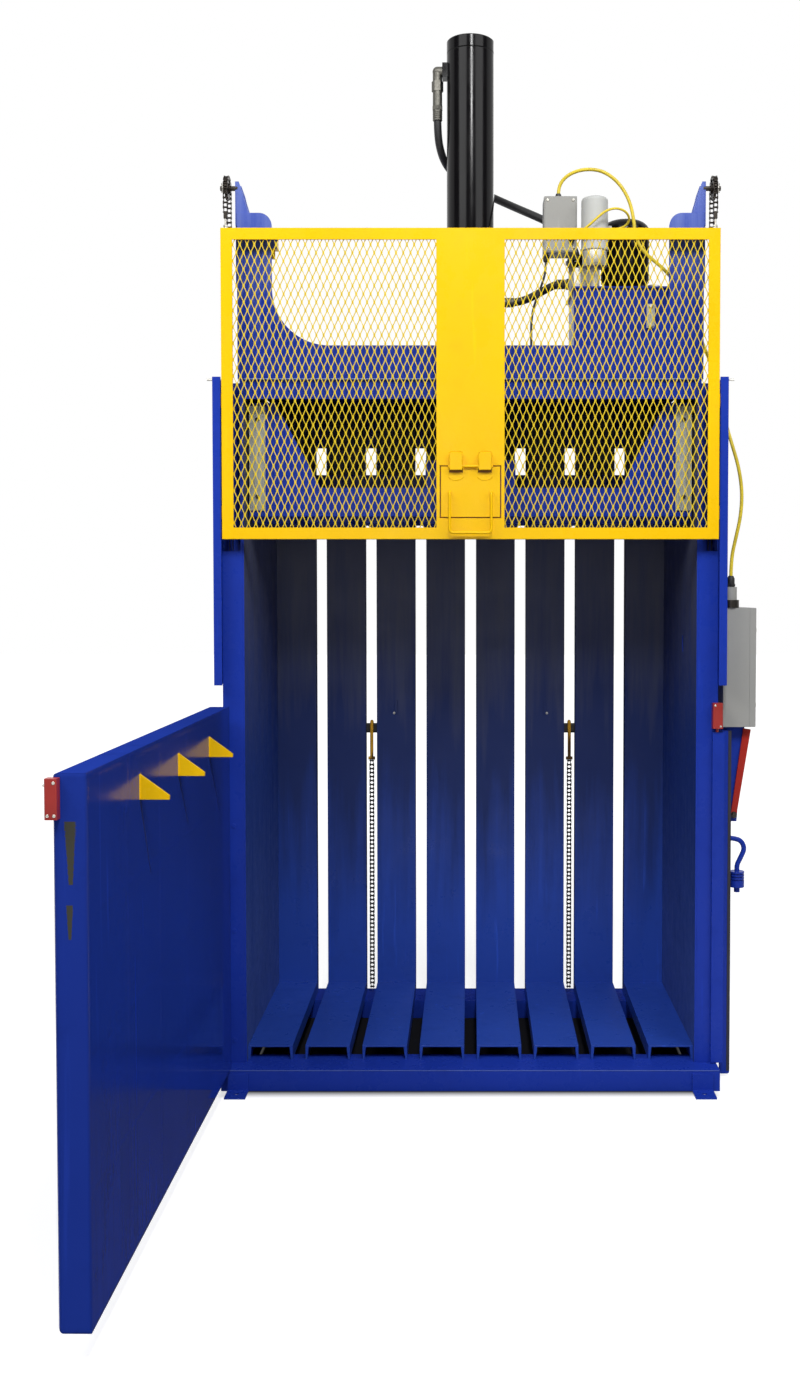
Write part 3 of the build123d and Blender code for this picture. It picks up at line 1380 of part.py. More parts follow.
def hook_line():
    """X of the two hooks, and depths of their front and back legs round the crossbar."""
    bar = Y_BACK + HOOK_BAR_SETBACK
    front = bar - HOOK_ROD / 2 - PISTON_GAP
    back = bar + HOOK_BAR_THICKNESS + HOOK_ROD / 2 + PISTON_GAP
    xs = [channel_x(i) + (CHANNEL_WIDTH + SLOT_WIDTH) / 2 for i in HOOK_SLATS]
    return xs, front, back


def build_ejector():
    """Grab hooks over the crossbars, and the bale ejector chains that hang from them."""
    xs, front, back = hook_line()
    over = HOOK_BAR[1] + HOOK_ROD / 2 + PISTON_GAP
    with BuildPart() as hooks:
        for x in xs:
            with BuildLine() as bent:
                FilletPolyline(
                    (x, back, HOOK_TIP),
                    (x, back, over),
                    (x, front, over),
                    (x, front, HOOK_BOTTOM),
                    radius=HOOK_BEND,
                )
            path = bent.wires()[0]
            with BuildSketch(Plane(origin=path @ 0, z_dir=path % 0)):
                Circle(HOOK_ROD / 2)
            sweep(path=path)
            along_x(x - HOOK_ROD, x + HOOK_ROD, front, HOOK_BOTTOM, HOOK_ROD)
    save("ejector_hooks", hooks.part)
    top = HOOK_BOTTOM - HOOK_ROD / 2
    count = int((top - BEAM_HEIGHT) / CHAIN_PITCH)
    half_height = EJECTOR_CHAIN_HEIGHT / 2
    half_width = EJECTOR_CHAIN_WIDTH / 2
    with BuildPart() as chains:
        for x in xs:
            for edge in (-half_width, half_width - EJECTOR_CHAIN_PLATE):
                block(
                    x + edge,
                    x + edge + EJECTOR_CHAIN_PLATE,
                    front - half_height,
                    front + half_height,
                    BEAM_HEIGHT,
                    top,
                )
            places = [(front, BEAM_HEIGHT + CHAIN_PITCH * (k + 0.5)) for k in range(count)]
            with BuildSketch(facing_side(x - half_width + EJECTOR_CHAIN_PLATE / 2)):
                with Locations(*places):
                    Rectangle(*EJECTOR_LINK)
            extrude(amount=EJECTOR_CHAIN_WIDTH - EJECTOR_CHAIN_PLATE)
            block(
                x - half_width,
                x + half_width,
                front - half_height,
                front + half_height,
                top - EJECTOR_CHAIN_END,
                top,
            )
    save("ejector_chains", chains.part)


def build_oil_tank():
    """Oil tank with a lapped lid, level gauge, valve manifold and solenoid valve."""
    x0, x1 = TANK_X
    y0, y1 = TANK_Y
    lap = TANK_LID_LAP
    with BuildPart() as tank:
        block(x0 + lap, x1 - lap, y0 + lap, y1 - lap, DECK_TOP, TANK_TOP)
        fillet(tank.edges().filter_by(Axis.Z), TANK_ROUND)
        block(x0, x1, y0, y1, TANK_TOP, LID_TOP)
        block(
            GAUGE_X - GAUGE_WIDTH / 2,
            GAUGE_X + GAUGE_WIDTH / 2,
            y0 + lap - GAUGE_THICKNESS,
            y0 + lap,
            *GAUGE_Z,
        )
        mx0, mx1 = MANIFOLD_X
        my0, my1 = MANIFOLD_Y
        top = MANIFOLD_TOP
        block(mx0, mx1, my0, my1, LID_TOP, top)
        wide, deep, tall = VALVE_BLOCK
        with Locations(((mx0 + mx1) / 2, VALVE_Y, top + tall / 2)):
            Box(wide, deep, tall)
        along_x(
            mx0 - SOLENOID_OVERHANG,
            mx1 + SOLENOID_OVERHANG,
            VALVE_Y,
            top + tall / 2,
            SOLENOID_DIAMETER,
        )
        hose_z = LID_TOP + RETURN_PORT_RISE
        along_x(mx0 - HOSE_TAIL_LENGTH, mx0, RETURN_PORT_Y, hose_z, HOSE_TAIL_DIAMETER)
        upright(*PRESSURE_PORT, top, top + HOSE_TAIL_LENGTH, HOSE_TAIL_DIAMETER)
        filler_x = x1 - FILLER_INSET
        upright(filler_x, y1 - FILLER_INSET, LID_TOP, LID_TOP + FILLER_HEIGHT, FILLER_DIAMETER)
    save("oil_tank", tank.part)


def build_motor():
    """Upright electric motor: bell housing, finned body and domed cowl."""
    x, y = MOTOR_CENTRE
    bell_top = LID_TOP + BELL_HEIGHT
    body_top = bell_top + MOTOR_BODY_HEIGHT
    radius = MOTOR_DIAMETER / 2
    body = radius - MOTOR_FIN
    cowl = radius + MOTOR_COWL_LIP
    fin_foot = bell_top + MOTOR_FIN_ROOT
    with BuildPart() as motor:
        with BuildSketch(Plane(origin=(x, y, 0), x_dir=(1, 0, 0), z_dir=(0, -1, 0))) as profile:
            Polygon(
                (0, LID_TOP),
                (BELL_DIAMETER / 2, LID_TOP),
                (BELL_DIAMETER / 2, bell_top - BELL_SHOULDER),
                (body, bell_top),
                (body, body_top),
                (cowl, body_top),
                (cowl, MOTOR_TOP),
                (0, MOTOR_TOP),
                align=None,
            )
            fillet(max(profile.vertices(), key=lambda v: v.X + v.Y), MOTOR_COWL_ROUND)
        revolve(axis=Axis((x, y, 0), (0, 0, 1)))
        with BuildSketch(Plane.XY.offset(fin_foot)):
            with Locations((x, y)):
                with PolarLocations(radius - MOTOR_FIN, MOTOR_FIN_COUNT):
                    Rectangle(MOTOR_FIN + MOTOR_FIN_ROOT, MOTOR_FIN_THICKNESS)
        extrude(amount=body_top - fin_foot)
    save("pump_motor", motor.part)


def build_filter():
    """Spin-on oil filter can on its cast head and riser pipe."""
    x, y = FILTER_CENTRE
    radius = FILTER_DIAMETER / 2
    head = radius - FILTER_LIP
    head_bottom = FILTER_BOTTOM - FILTER_HEAD
    with BuildPart() as oil_filter:
        with BuildSketch(Plane(origin=(x, y, 0), x_dir=(1, 0, 0), z_dir=(0, -1, 0))) as profile:
            Polygon(
                (0, LID_TOP),
                (FILTER_PIPE / 2, LID_TOP),
                (FILTER_PIPE / 2, head_bottom),
                (head, head_bottom + FILTER_HEAD_TAPER),
                (head, FILTER_BOTTOM),
                (radius, FILTER_BOTTOM + FILTER_LIP),
                (radius, FILTER_TOP),
                (0, FILTER_TOP),
                align=None,
            )
            fillet(max(profile.vertices(), key=lambda v: v.X + v.Y), FILTER_ROUND)
        revolve(axis=Axis((x, y, 0), (0, 0, 1)))
        side = x + radius
        along_x(side - FILTER_STUB, side + FILTER_STUB, y, FILTER_STUB_HEIGHT, FILTER_STUB_DIAMETER)
    save("oil_filter", oil_filter.part)


def build_junction_box():
    """Junction box on its bracket beside the motor, with the cord glands."""
    x0, x1 = JUNCTION_X
    y0, y1 = JUNCTION_Y
    z0, z1 = JUNCTION_Z
    with BuildPart() as junction:
        block(x0, x1, y0, y1, z0, z1)
        edge = JUNCTION_ROUND
        fillet(junction.edges().filter_by(Axis.Y), edge)
        block(x0 + edge, x1 - edge, y0 - JUNCTION_COVER, y0, z0 + edge, z1 - edge)
        foot = TANK_X[0]
        toe = foot + BRACKET_WIDTH
        block(foot, toe, y1, y1 + BRACKET_PLATE, LID_TOP, z1 - BRACKET_DROP)
        block(foot, toe, y0, y1, LID_TOP, LID_TOP + BRACKET_PLATE)
        x, y, z = CONTROL_CORD[0]
        upright(x, y, z1, z, GLAND_SMALL)
        x, y, z = VALVE_CABLE[0]
        upright(x, y, z, z0, GLAND_SMALL)
        x, y, z = VALVE_CORD[0]
        along_y(x, y, y0, z, GLAND_SMALL)
    save("junction_box", junction.part)


def build_interlock():
    """Round interlock connector on the latch channel, with its stiff conduit loop to the post."""
    x = FITTING_X
    y = CONDUIT_Y
    loop = [(x + side, y, FITTING_TOP + rise) for side, rise in CONDUIT_LOOP]
    post = (POST_OUT, y, FITTING_TOP + CONDUIT_RISE)
    body = FITTING_BOTTOM + FITTING_TIP_LENGTH
    ribs = FITTING_TOP - FITTING_RIBS * (FITTING_RIB + FITTING_GROOVE)
    with BuildPart() as interlock:
        upright(x, y, FITTING_BOTTOM, body, FITTING_TIP)
        upright(x, y, body, ribs, FITTING_BODY)
        for ring in range(FITTING_RIBS):
            z = ribs + ring * (FITTING_RIB + FITTING_GROOVE)
            upright(x, y, z, z + FITTING_GROOVE, FITTING_BODY - 2 * FITTING_GROOVE)
            upright(x, y, z + FITTING_GROOVE, z + FITTING_GROOVE + FITTING_RIB, FITTING_BODY)
        with BuildLine() as bent:
            FilletPolyline(*loop, radius=cord_radii(loop))
            Line(loop[-1], post)
        path = bent.wires()[0]
        with BuildSketch(Plane(origin=path @ 0, z_dir=path % 0)):
            Circle(CONDUIT_DIAMETER / 2)
        sweep(path=path)
    save("interlock_switch", interlock.part)


def build_control_box():
    """Sheet-steel control box on struts, with a cord hub on top and gear on its back panel."""
    front, back = BOX_FRONT, BOX_BACK
    sheet = BOX_SHEET
    hub_y = CONTROL_CORD[-1][1]
    with BuildPart() as box:
        block(BOX_INSIDE_X, BOX_LID_X, front, back, BOX_BOTTOM, BOX_TOP)
        block(
            BOX_INSIDE_X + sheet,
            BOX_LID_X,
            front + sheet,
            back - sheet,
            BOX_BOTTOM + sheet,
            BOX_TOP - sheet,
            mode=Mode.SUBTRACT,
        )
        for z in (BOX_BOTTOM + BOX_STRUT, BOX_TOP - 2 * BOX_STRUT):
            strut_back = Y_FRONT + POST_DEPTH
            block(POST_OUT, BOX_INSIDE_X, front + STRUT_INSET, strut_back, z, z + BOX_STRUT)
        inset = PANEL_INSET
        panel = BOX_INSIDE_X + sheet
        gear = panel + PANEL_THICKNESS
        block(panel, gear, front + inset, back - inset, BOX_BOTTOM + inset, BOX_TOP - inset)
        near, far = front + GEAR_INSET, back - GEAR_INSET
        deep, wide, tall = TRANSFORMER
        top = BOX_TOP - GEAR_END_GAP
        block(gear, gear + deep, near, near + wide, top - tall, top)
        deep, tall = TERMINAL_ROW
        low = BOX_BOTTOM + GEAR_END_GAP
        block(gear, gear + deep, near, far, low, low + tall)
        upright(HUB_X, hub_y, BOX_TOP, COLLAR_TOP, COLLAR_DIAMETER)
        upright(HUB_X, hub_y, COLLAR_TOP, HUB_TOP, HUB_DIAMETER)
        upright(HUB_X, hub_y, HUB_TOP, GLAND_TOP, GLAND_DIAMETER)
        hinge_y = back + LID_HINGE_OFFSET
        for rise in LID_HINGE_HEIGHTS:
            z = BOX_BOTTOM + rise
            block(BOX_LID_X - 3 * sheet, BOX_LID_X - sheet, back, hinge_y, z, z + LID_KNUCKLE)
            upright(BOX_LID_X, hinge_y, z, z + LID_KNUCKLE, LID_HINGE_DIAMETER)
            upright(BOX_LID_X, hinge_y, z, z + 2 * LID_KNUCKLE, LID_HINGE_PIN)
    save("control_box", box.part)


def button_y():
    """Middle of the control box's lid, where its buttons sit."""
    return (BOX_FRONT + BOX_BACK) / 2


def build_control_lid():
    """Pan-shaped lid of the control box, hinged at its back edge, with two button holes."""
    front, back = BOX_FRONT, BOX_BACK
    sheet = BOX_SHEET
    inside = BOX_LID_X + PISTON_GAP
    with BuildPart() as lid:
        block(inside, BOX_OUTSIDE_X, front, back, BOX_BOTTOM, BOX_TOP)
        fillet(lid.faces().sort_by(Axis.X)[-1].edges(), LID_ROUND)
        block(
            inside,
            BOX_OUTSIDE_X - sheet,
            front + sheet,
            back - sheet,
            BOX_BOTTOM + sheet,
            BOX_TOP - sheet,
            mode=Mode.SUBTRACT,
        )
        hole = BUTTON_DIAMETER + 2 * BUTTON_HOLE_GAP
        for z in BUTTON_HEIGHTS:
            along_x(inside, BOX_OUTSIDE_X, button_y(), z, hole, mode=Mode.SUBTRACT)
        hinge_y = back + LID_HINGE_OFFSET
        bore = LID_HINGE_PIN + 2 * AXLE_GAP
        for rise in LID_HINGE_HEIGHTS:
            low = BOX_BOTTOM + rise + LID_KNUCKLE + PISTON_GAP
            high = BOX_BOTTOM + rise + 2 * LID_KNUCKLE
            upright(BOX_LID_X, hinge_y, low, high, LID_HINGE_DIAMETER)
            leaf = BOX_LID_X + LID_HINGE_PIN / 2 + sheet / 2
            block(leaf, leaf + sheet, back, hinge_y, low, high)
            upright(BOX_LID_X, hinge_y, low, high, bore, mode=Mode.SUBTRACT)
    save("control_lid", lid.part)


def build_buttons():
    """Start button and mushroom stop button, each through a hole in the lid."""
    stem = BOX_OUTSIDE_X - BOX_SHEET - BUTTON_INSIDE
    start_z, stop_z = BUTTON_HEIGHTS
    with BuildPart() as start:
        along_x(stem, BOX_OUTSIDE_X + BUTTON_REACH, button_y(), start_z, BUTTON_DIAMETER)
        fillet(start.faces().sort_by(Axis.X)[-1].edges(), START_ROUND)
    save("start_button", start.part)
    with BuildPart() as stop:
        along_x(stem, BOX_OUTSIDE_X + BUTTON_REACH, button_y(), stop_z, BUTTON_DIAMETER)
        head = BOX_OUTSIDE_X + BUTTON_REACH
        along_x(head, head + BUTTON_REACH, button_y(), stop_z, STOP_HEAD_DIAMETER)
        fillet(stop.faces().sort_by(Axis.X)[-1].edges(), STOP_ROUND)
    save("stop_button", stop.part)


# Routes of the hoses and cords, from end to end
ELBOW_RUN = 64.0
HUB_RUN = 71.0
PRESSURE_HOSE = [
    (ELBOW_X, 0.0, ELBOW_BOTTOM),
    (ELBOW_X, 0.0, ELBOW_BOTTOM - ELBOW_RUN),
    (-112.0, 24.0, 3280.0),
    (-92.0, 66.0, 3236.0),
    (-54.0, 104.0, 3202.0),
    (-4.0, 126.0, 3174.0),
    (56.0, 124.0, 3144.0),
    (116.0, 92.0, 3108.0),
    (172.0, 46.0, 3070.0),
    (226.0, 0.0, 3034.0),
    (280.0, -40.0, 2998.0),
    (326.0, -64.0, 2956.0),
    (361.0, -75.0, 2908.0),
    (*PRESSURE_PORT, MANIFOLD_TOP + HOSE_TAIL_LENGTH + 35.0),
    (*PRESSURE_PORT, MANIFOLD_TOP + HOSE_TAIL_LENGTH),
]
RETURN_HOSE = [
    (PORT_FACE + HOSE_TAIL_LENGTH, 0.0, LOWER_PORT_HEIGHT),
    (PORT_FACE + HOSE_TAIL_LENGTH + 36.5, 0.0, LOWER_PORT_HEIGHT),
    (203.0, -9.0, 2729.0),
    (240.0, -27.0, 2744.0),
    (274.0, -48.0, 2759.0),
    (306.0, RETURN_PORT_Y, LID_TOP + RETURN_PORT_RISE),
    (MANIFOLD_X[0] - HOSE_TAIL_LENGTH, RETURN_PORT_Y, LID_TOP + RETURN_PORT_RISE),
]
CONTROL_CORD = [
    (305.0, -200.0, 3042.0),
    (305.0, -200.0, 3068.0),
    (316.0, -205.0, 3095.0),
    (340.0, -214.0, 3115.0),
    (374.0, -224.0, 3126.0),
    (413.0, -232.0, 3128.0),
    (455.0, -238.0, 3119.0),
    (494.0, -240.0, 3094.0),
    (526.0, -242.0, 3057.0),
    (549.0, -244.0, 3010.0),
    (561.0, -244.0, 2957.0),
    (567.0, -242.0, 2902.0),
    (586.0, -240.0, 2856.0),
    (622.0, -238.0, 2822.0),
    (662.0, -238.0, 2790.0),
    (696.0, -242.0, 2752.0),
    (726.0, -250.0, 2702.0),
    (752.0, -256.0, 2646.0),
    (775.0, -262.0, 2586.0),
    (798.0, -266.0, 2524.0),
    (824.0, -270.0, 2460.0),
    (846.0, -278.0, 2392.0),
    (858.0, -294.0, 2320.0),
    (870.0, -314.0, 2244.0),
    (890.0, -328.0, 2170.0),
    (912.0, -332.0, 2094.0),
    (924.0, -332.0, 2012.0),
    (920.0, -330.0, 1930.0),
    (903.0, -328.0, 1852.0),
    (HUB_X, -328.0, GLAND_TOP + HUB_RUN),
    (HUB_X, -328.0, GLAND_TOP),
]
VALVE_CORD = [
    (348.0, -252.0, 2884.0),
    (348.0, -282.0, 2884.0),
    (362.0, -310.0, 2888.0),
    (390.0, -328.0, 2902.0),
    (421.0, -334.0, 2928.0),
    (452.0, -334.0, 2956.0),
    (490.0, -328.0, 2970.0),
    (528.0, -314.0, 2962.0),
    (546.0, -286.0, 2938.0),
    (520.0, -258.0, 2916.0),
    (484.0, -258.0, 2916.0),
]
VALVE_CABLE = [
    (262.0, -200.0, 2828.0),
    (262.0, -200.0, 2788.0),
    (250.0, -216.0, 2744.0),
    (232.0, -248.0, 2694.0),
    (214.0, -284.0, 2640.0),
    (206.0, -316.0, 2584.0),
    (206.0, -328.0, 2536.0),
    (206.0, -328.0, 2497.0),
]


def build_cords():
    """Two hydraulic hoses, the control cord, the small valve cord and a black cable."""
    cord("pressure_hose", PRESSURE_HOSE, HOSE_DIAMETER)
    cord("return_hose", RETURN_HOSE, HOSE_DIAMETER)
    cord("control_cord", CONTROL_CORD, CORD_DIAMETER)
    cord("valve_cord", VALVE_CORD, CABLE_DIAMETER)
    cord("valve_cable", VALVE_CABLE, CABLE_DIAMETER)


build_base_frame()
build_floor_channels()
build_back_slats()
build_side_walls()
build_front_posts()
build_guide_rails()
build_latch_channel()
build_latch_lever()
build_header_yoke()
build_header_deck()
build_cylinder()
build_ram_rod()
build_platen()
build_wear_strips()
build_door()
build_door_actuator()
build_door_switch()
build_gate()
build_gate_flap()
build_sprockets()
build_gate_chains()
build_counterweights()
build_ejector()
build_oil_tank()
build_motor()
build_filter()
build_junction_box()
build_interlock()
build_control_box()
build_control_lid()
build_buttons()
build_cords()
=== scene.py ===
"""Dresses the recycling baler: enamel, expanded mesh, roller chains, hoses, cords and fittings."""

import math

import bmesh
import bpy
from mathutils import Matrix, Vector


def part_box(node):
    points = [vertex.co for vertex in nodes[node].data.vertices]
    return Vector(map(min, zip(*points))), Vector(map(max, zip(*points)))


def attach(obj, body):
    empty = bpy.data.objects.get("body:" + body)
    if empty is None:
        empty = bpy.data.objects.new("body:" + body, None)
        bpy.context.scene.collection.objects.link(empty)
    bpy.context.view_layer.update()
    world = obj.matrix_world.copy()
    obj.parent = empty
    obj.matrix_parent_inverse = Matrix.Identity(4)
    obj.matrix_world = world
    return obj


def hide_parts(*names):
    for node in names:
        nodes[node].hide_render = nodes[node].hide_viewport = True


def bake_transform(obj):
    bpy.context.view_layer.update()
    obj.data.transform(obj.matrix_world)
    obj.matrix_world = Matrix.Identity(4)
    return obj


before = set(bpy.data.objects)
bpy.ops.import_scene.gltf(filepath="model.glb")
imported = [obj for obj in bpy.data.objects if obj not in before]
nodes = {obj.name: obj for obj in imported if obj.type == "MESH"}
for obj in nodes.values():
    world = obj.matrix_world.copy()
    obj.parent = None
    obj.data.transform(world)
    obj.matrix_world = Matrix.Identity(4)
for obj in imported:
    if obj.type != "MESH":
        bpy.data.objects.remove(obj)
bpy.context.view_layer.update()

# Directions, a distance too small to see and one past the machine's end, in metres
ACROSS, FRONT, UP = (1, 0, 0), (0, -1, 0), (0, 0, 1)
HAIR = 0.0005
FAR = 9.0


def corners(node):
    """Lowest and highest corner of a CAD node at rest."""
    low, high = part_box(node)
    return Vector(low), Vector(high)


def middle_of(node):
    """Middle of a CAD node's box at rest."""
    low, high = corners(node)
    return (low + high) / 2


# Places read from the frame
POST_LOW, POST_HIGH = corners("front_post_right")
GATE_LOW, GATE_HIGH = corners("gate_frame")
TANK_LOW, TANK_HIGH = corners("oil_tank")
BASE_LOW, BASE_HIGH = corners("base_frame")
LID_LOW, LID_HIGH = corners("control_lid")
LEVER_LOW, LEVER_HIGH = corners("latch_lever")
Y_FRONT = POST_LOW.y
FRAME_TOP = POST_HIGH.z
HALF_CHAMBER = corners("side_wall_right")[0].x
DECK_TOP = corners("header_deck")[1].z
DOOR_END = corners("door")[0].y

# Places within a node, which its box doesn't give, in metres
BASE_FRONT = -0.468
FLANGE_TIP, FLANGE_FRONT = 0.892, -0.336
GATE_PANEL, FLAP_FACE = -0.4430, -0.4427
FLAP_EAR_X = 0.048
HATCH_HALF, HATCH_BOTTOM, HATCH_TOP = 0.088, 1.925, 2.060
ARM_OUTSIDE, HEADER_PLATE = 0.785, 0.011
STOP_BLOCK_X, STOP_BLOCK_Z = (-0.68, -0.645), (2.76, 2.88)
RAIL_WEB = 0.0195
CROSSBAR_Z = (1.111, 1.151)
SLAT_SETBACK, STRIP_RECESS = 0.02, 0.0035
TANK_LID_TOP, TANK_LID_DROP = 2.711, 0.03
MANIFOLD_TOP, MANIFOLD_FRONT = 2.807, -0.165
VALVE_X, VALVE_Y, VALVE_HALF = 0.404, -0.123, 0.025
BREATHER = (0.652, -0.088)
GAUGE_X, GAUGE_DEPTH = 0.613, 0.006
FILTER_SEAT = 2.840
PORT_FACE, PORTS_OVER_DECK = 0.1015, 0.1
CYLINDER_FLANGE, FLANGE_BOLT, FLANGE_BOLTS_OUT = 0.025, 0.025, 0.09
JUNCTION_LOW, JUNCTION_HIGH, JUNCTION_FACE = 2.843, 3.034, -0.241
JUNCTION_MIDDLE = 0.3
COLLAR_TOP, HUB_TOP = 1.645, 1.689
LEVER_PIVOT, LEVER_PIN = (0.906, 0.905), 0.008
HINGE = (-0.842, -0.431)
DOOR_OPEN = math.radians(90.5)
DOOR_FACE = 0.039
DOG_MIDDLES = (0.355, 0.778, 1.201)
DOG_BOTTOM, DOG_HEIGHT, DOG_PLATE = 1.164, 0.063, 0.010

# The photograph's frame and the camera that was fitted to it
PHOTO_SIZE = (800, 1381)
FOCAL_PIXELS = 1354.0
PRINCIPAL_POINT = (470.5, 636.9)
CAMERA_DISTANCE = 4.562
CAMERA_HEIGHT = 1.680
CAMERA_PITCH = math.radians(-2.0)
SENSOR = 36.0


def srgb(red, green, blue):
    """Linear colour of an 8-bit display colour."""
    def linear(value):
        value /= 255
        return value / 12.92 if value <= 0.04045 else ((value + 0.055) / 1.055) ** 2.4

    return (linear(red), linear(green), linear(blue), 1.0)


BLUE = srgb(29, 56, 163)
# Painted light: the frame's blue made lighter for the inside of the chamber
CHAMBER_LIT_BLUE = srgb(37, 70, 163)
# The side walls' blue, lighter and greyer: dust, and painted light
WALL_DUST_AND_LIGHT_BLUE = srgb(64, 86, 150)
# Painted shade: a darker blue for the faces of the door that look up and to the front
RIM_SHADED_BLUE = srgb(32, 55, 148)
YELLOW = srgb(246, 195, 13)
# Painted shade: brownish yellow for the frame seen through the gap round the gate's flap
STOP_SHADE_YELLOW = srgb(150, 98, 14)
PALE_YELLOW = srgb(230, 202, 50)
RED = srgb(172, 46, 38)
PLASTIC_RED = srgb(158, 44, 38)
BLACK = srgb(16, 15, 17)
BOX_GREY = srgb(156, 156, 153)
WORN_STEEL = srgb(176, 178, 172)
ZINC = srgb(206, 204, 196)
FITTING = srgb(108, 106, 100)
GOLD = srgb(206, 152, 44)
HOOK_BROWN = srgb(52, 34, 22)
CHAIN_DARK = srgb(58, 54, 50)
CHAIN_BLACK = srgb(17, 15, 15)
STEEL_DARK = srgb(70, 66, 62)
CHROME = srgb(220, 220, 222)
RUBBER = srgb(24, 24, 26)
START_GREEN = srgb(20, 120, 50)
GAUGE_PALE = srgb(206, 206, 196)
FILTER_GREY = srgb(190, 192, 190)
CORD_YELLOW = srgb(218, 194, 44)
# Painted sheen: light blue blended into the header's paint towards its top
HEADER_SHEEN = srgb(128, 146, 204)
# Painted highlight: light blue on the bead under the header, where its edge catches light
SEAM_HIGHLIGHT = srgb(136, 150, 196)
# Painted highlight: light blue along the base beam's top front edge
BASE_EDGE_HIGHLIGHT = srgb(84, 104, 172)
# Painted shade: a dark strip on the latch channel's flange
RECEIVER_SHADE = srgb(62, 62, 72)
SCRAPE = srgb(70, 70, 62)
DRIP = srgb(8, 14, 46)
# Painted shade: navy blended into the chamber's paint higher up, where the gate and header shade it
SHADE_NAVY = srgb(18, 33, 76)
# Painted shade: a darker blue blended into the side walls' paint higher up
WALL_SHADE_BLUE = srgb(31, 58, 132)
# Grey at the chamber's top: wear where bales scrape, and a painted sheen
WEAR_AND_SHEEN = srgb(90, 92, 104)
WHITE = (1.0, 1.0, 1.0, 1.0)
FLOOR_WHITE = (0.6, 0.6, 0.6, 1.0)
# Painted shade: the floor's colour under the machine's footprint
FLOOR_PAINTED_SHADE = (0.02, 0.02, 0.025, 1.0)


# Shader building
def add_node(tree, kind, inputs=None, **settings):
    """A shader node with its settings and inputs; an input that is a socket gets linked."""
    made = tree.nodes.new(kind)
    for key, value in settings.items():
        setattr(made, key, value)
    for key, value in (inputs or {}).items():
        if isinstance(value, bpy.types.NodeSocket):
            tree.links.new(value, made.inputs[key])
        else:
            made.inputs[key].default_value = value
    return made


def new_material(name):
    """A material with its tree and its Principled shader."""
    material = bpy.data.materials.new(name)
    material.use_nodes = True
    tree = material.node_tree
    return material, tree, tree.nodes["Principled BSDF"]


def object_coordinates(tree):
    """The surface's place in the machine's own frame, in metres."""
    return add_node(tree, "ShaderNodeTexCoord").outputs["Object"]


def noise(tree, coordinates, scale, detail=3.0, rough=0.5, stretch=None):
    """Fractal noise from 0 to 1, optionally stretched along the axes."""
    if stretch:
        mapping = add_node(tree, "ShaderNodeMapping", {"Vector": coordinates, "Scale": stretch})
        coordinates = mapping.outputs["Vector"]
    inputs = {"Vector": coordinates, "Scale": scale, "Detail": detail, "Roughness": rough}
    return add_node(tree, "ShaderNodeTexNoise", inputs).outputs["Fac"]


def remap(tree, value, low, high, to_low=0.0, to_high=1.0):
    """A value's span from low to high, turned into another span and clamped."""
    inputs = {"Value": value, "From Min": low, "From Max": high, "To Min": to_low, "To Max": to_high}
    return add_node(tree, "ShaderNodeMapRange", inputs).outputs["Result"]


def math_node(tree, operation, first, second=0.0):
    """One arithmetic step on two values."""
    return add_node(tree, "ShaderNodeMath", {0: first, 1: second}, operation=operation).outputs[0]


def blend_colours(tree, factor, first, second):
    """A mix of two colours."""
    inputs = {0: factor, 6: first, 7: second}
    return add_node(tree, "ShaderNodeMix", inputs, data_type="RGBA").outputs[2]


def scaled(colour, factor):
    """A colour made darker or lighter."""
    return (*(min(channel * factor, 1.0) for channel in colour[:3]), 1.0)


def relief(tree, shader, height, strength, distance, round_edge=0.0):
    """Bump from a height, over edges that are rounded in shading alone."""
    inputs = {"Height": height, "Strength": strength, "Distance": distance}
    if round_edge:
        edge = add_node(tree, "ShaderNodeBevel", {"Radius": round_edge}, samples=4)
        inputs["Normal"] = edge.outputs["Normal"]
    bump = add_node(tree, "ShaderNodeBump", inputs)
    tree.links.new(bump.outputs["Normal"], shader.inputs["Normal"])


def span_mask(tree, value, low, high, soft):
    """1 where a value lies between two limits, fading over a soft edge."""
    rise = remap(tree, value, low - soft, low + soft)
    fall = remap(tree, value, high - soft, high + soft, 1.0, 0.0)
    return math_node(tree, "MULTIPLY", rise, fall)


def streak_mask(tree, place, axis, foot, top, side):
    """A tapered streak: foot and top are (height, middle, half width), side the span across it."""
    parts = add_node(tree, "ShaderNodeSeparateXYZ", {"Vector": place}).outputs
    height, across, other = parts["Z"], parts[axis], parts["X" if axis == "Y" else "Y"]
    middle = remap(tree, height, foot[0], top[0], foot[1], top[1])
    half = remap(tree, height, foot[0], top[0], foot[2], top[2])
    off = math_node(tree, "ABSOLUTE", math_node(tree, "SUBTRACT", across, middle))
    edge = noise(tree, place, 160.0, 4.0, 0.6)
    share = math_node(tree, "ADD", math_node(tree, "DIVIDE", off, half), edge)
    inside = remap(tree, share, 1.4, 1.6, 1.0, 0.0)
    inside = math_node(tree, "MULTIPLY", inside, span_mask(tree, height, foot[0], top[0], 0.001))
    return math_node(tree, "MULTIPLY", inside, span_mask(tree, other, *side, 0.0005))


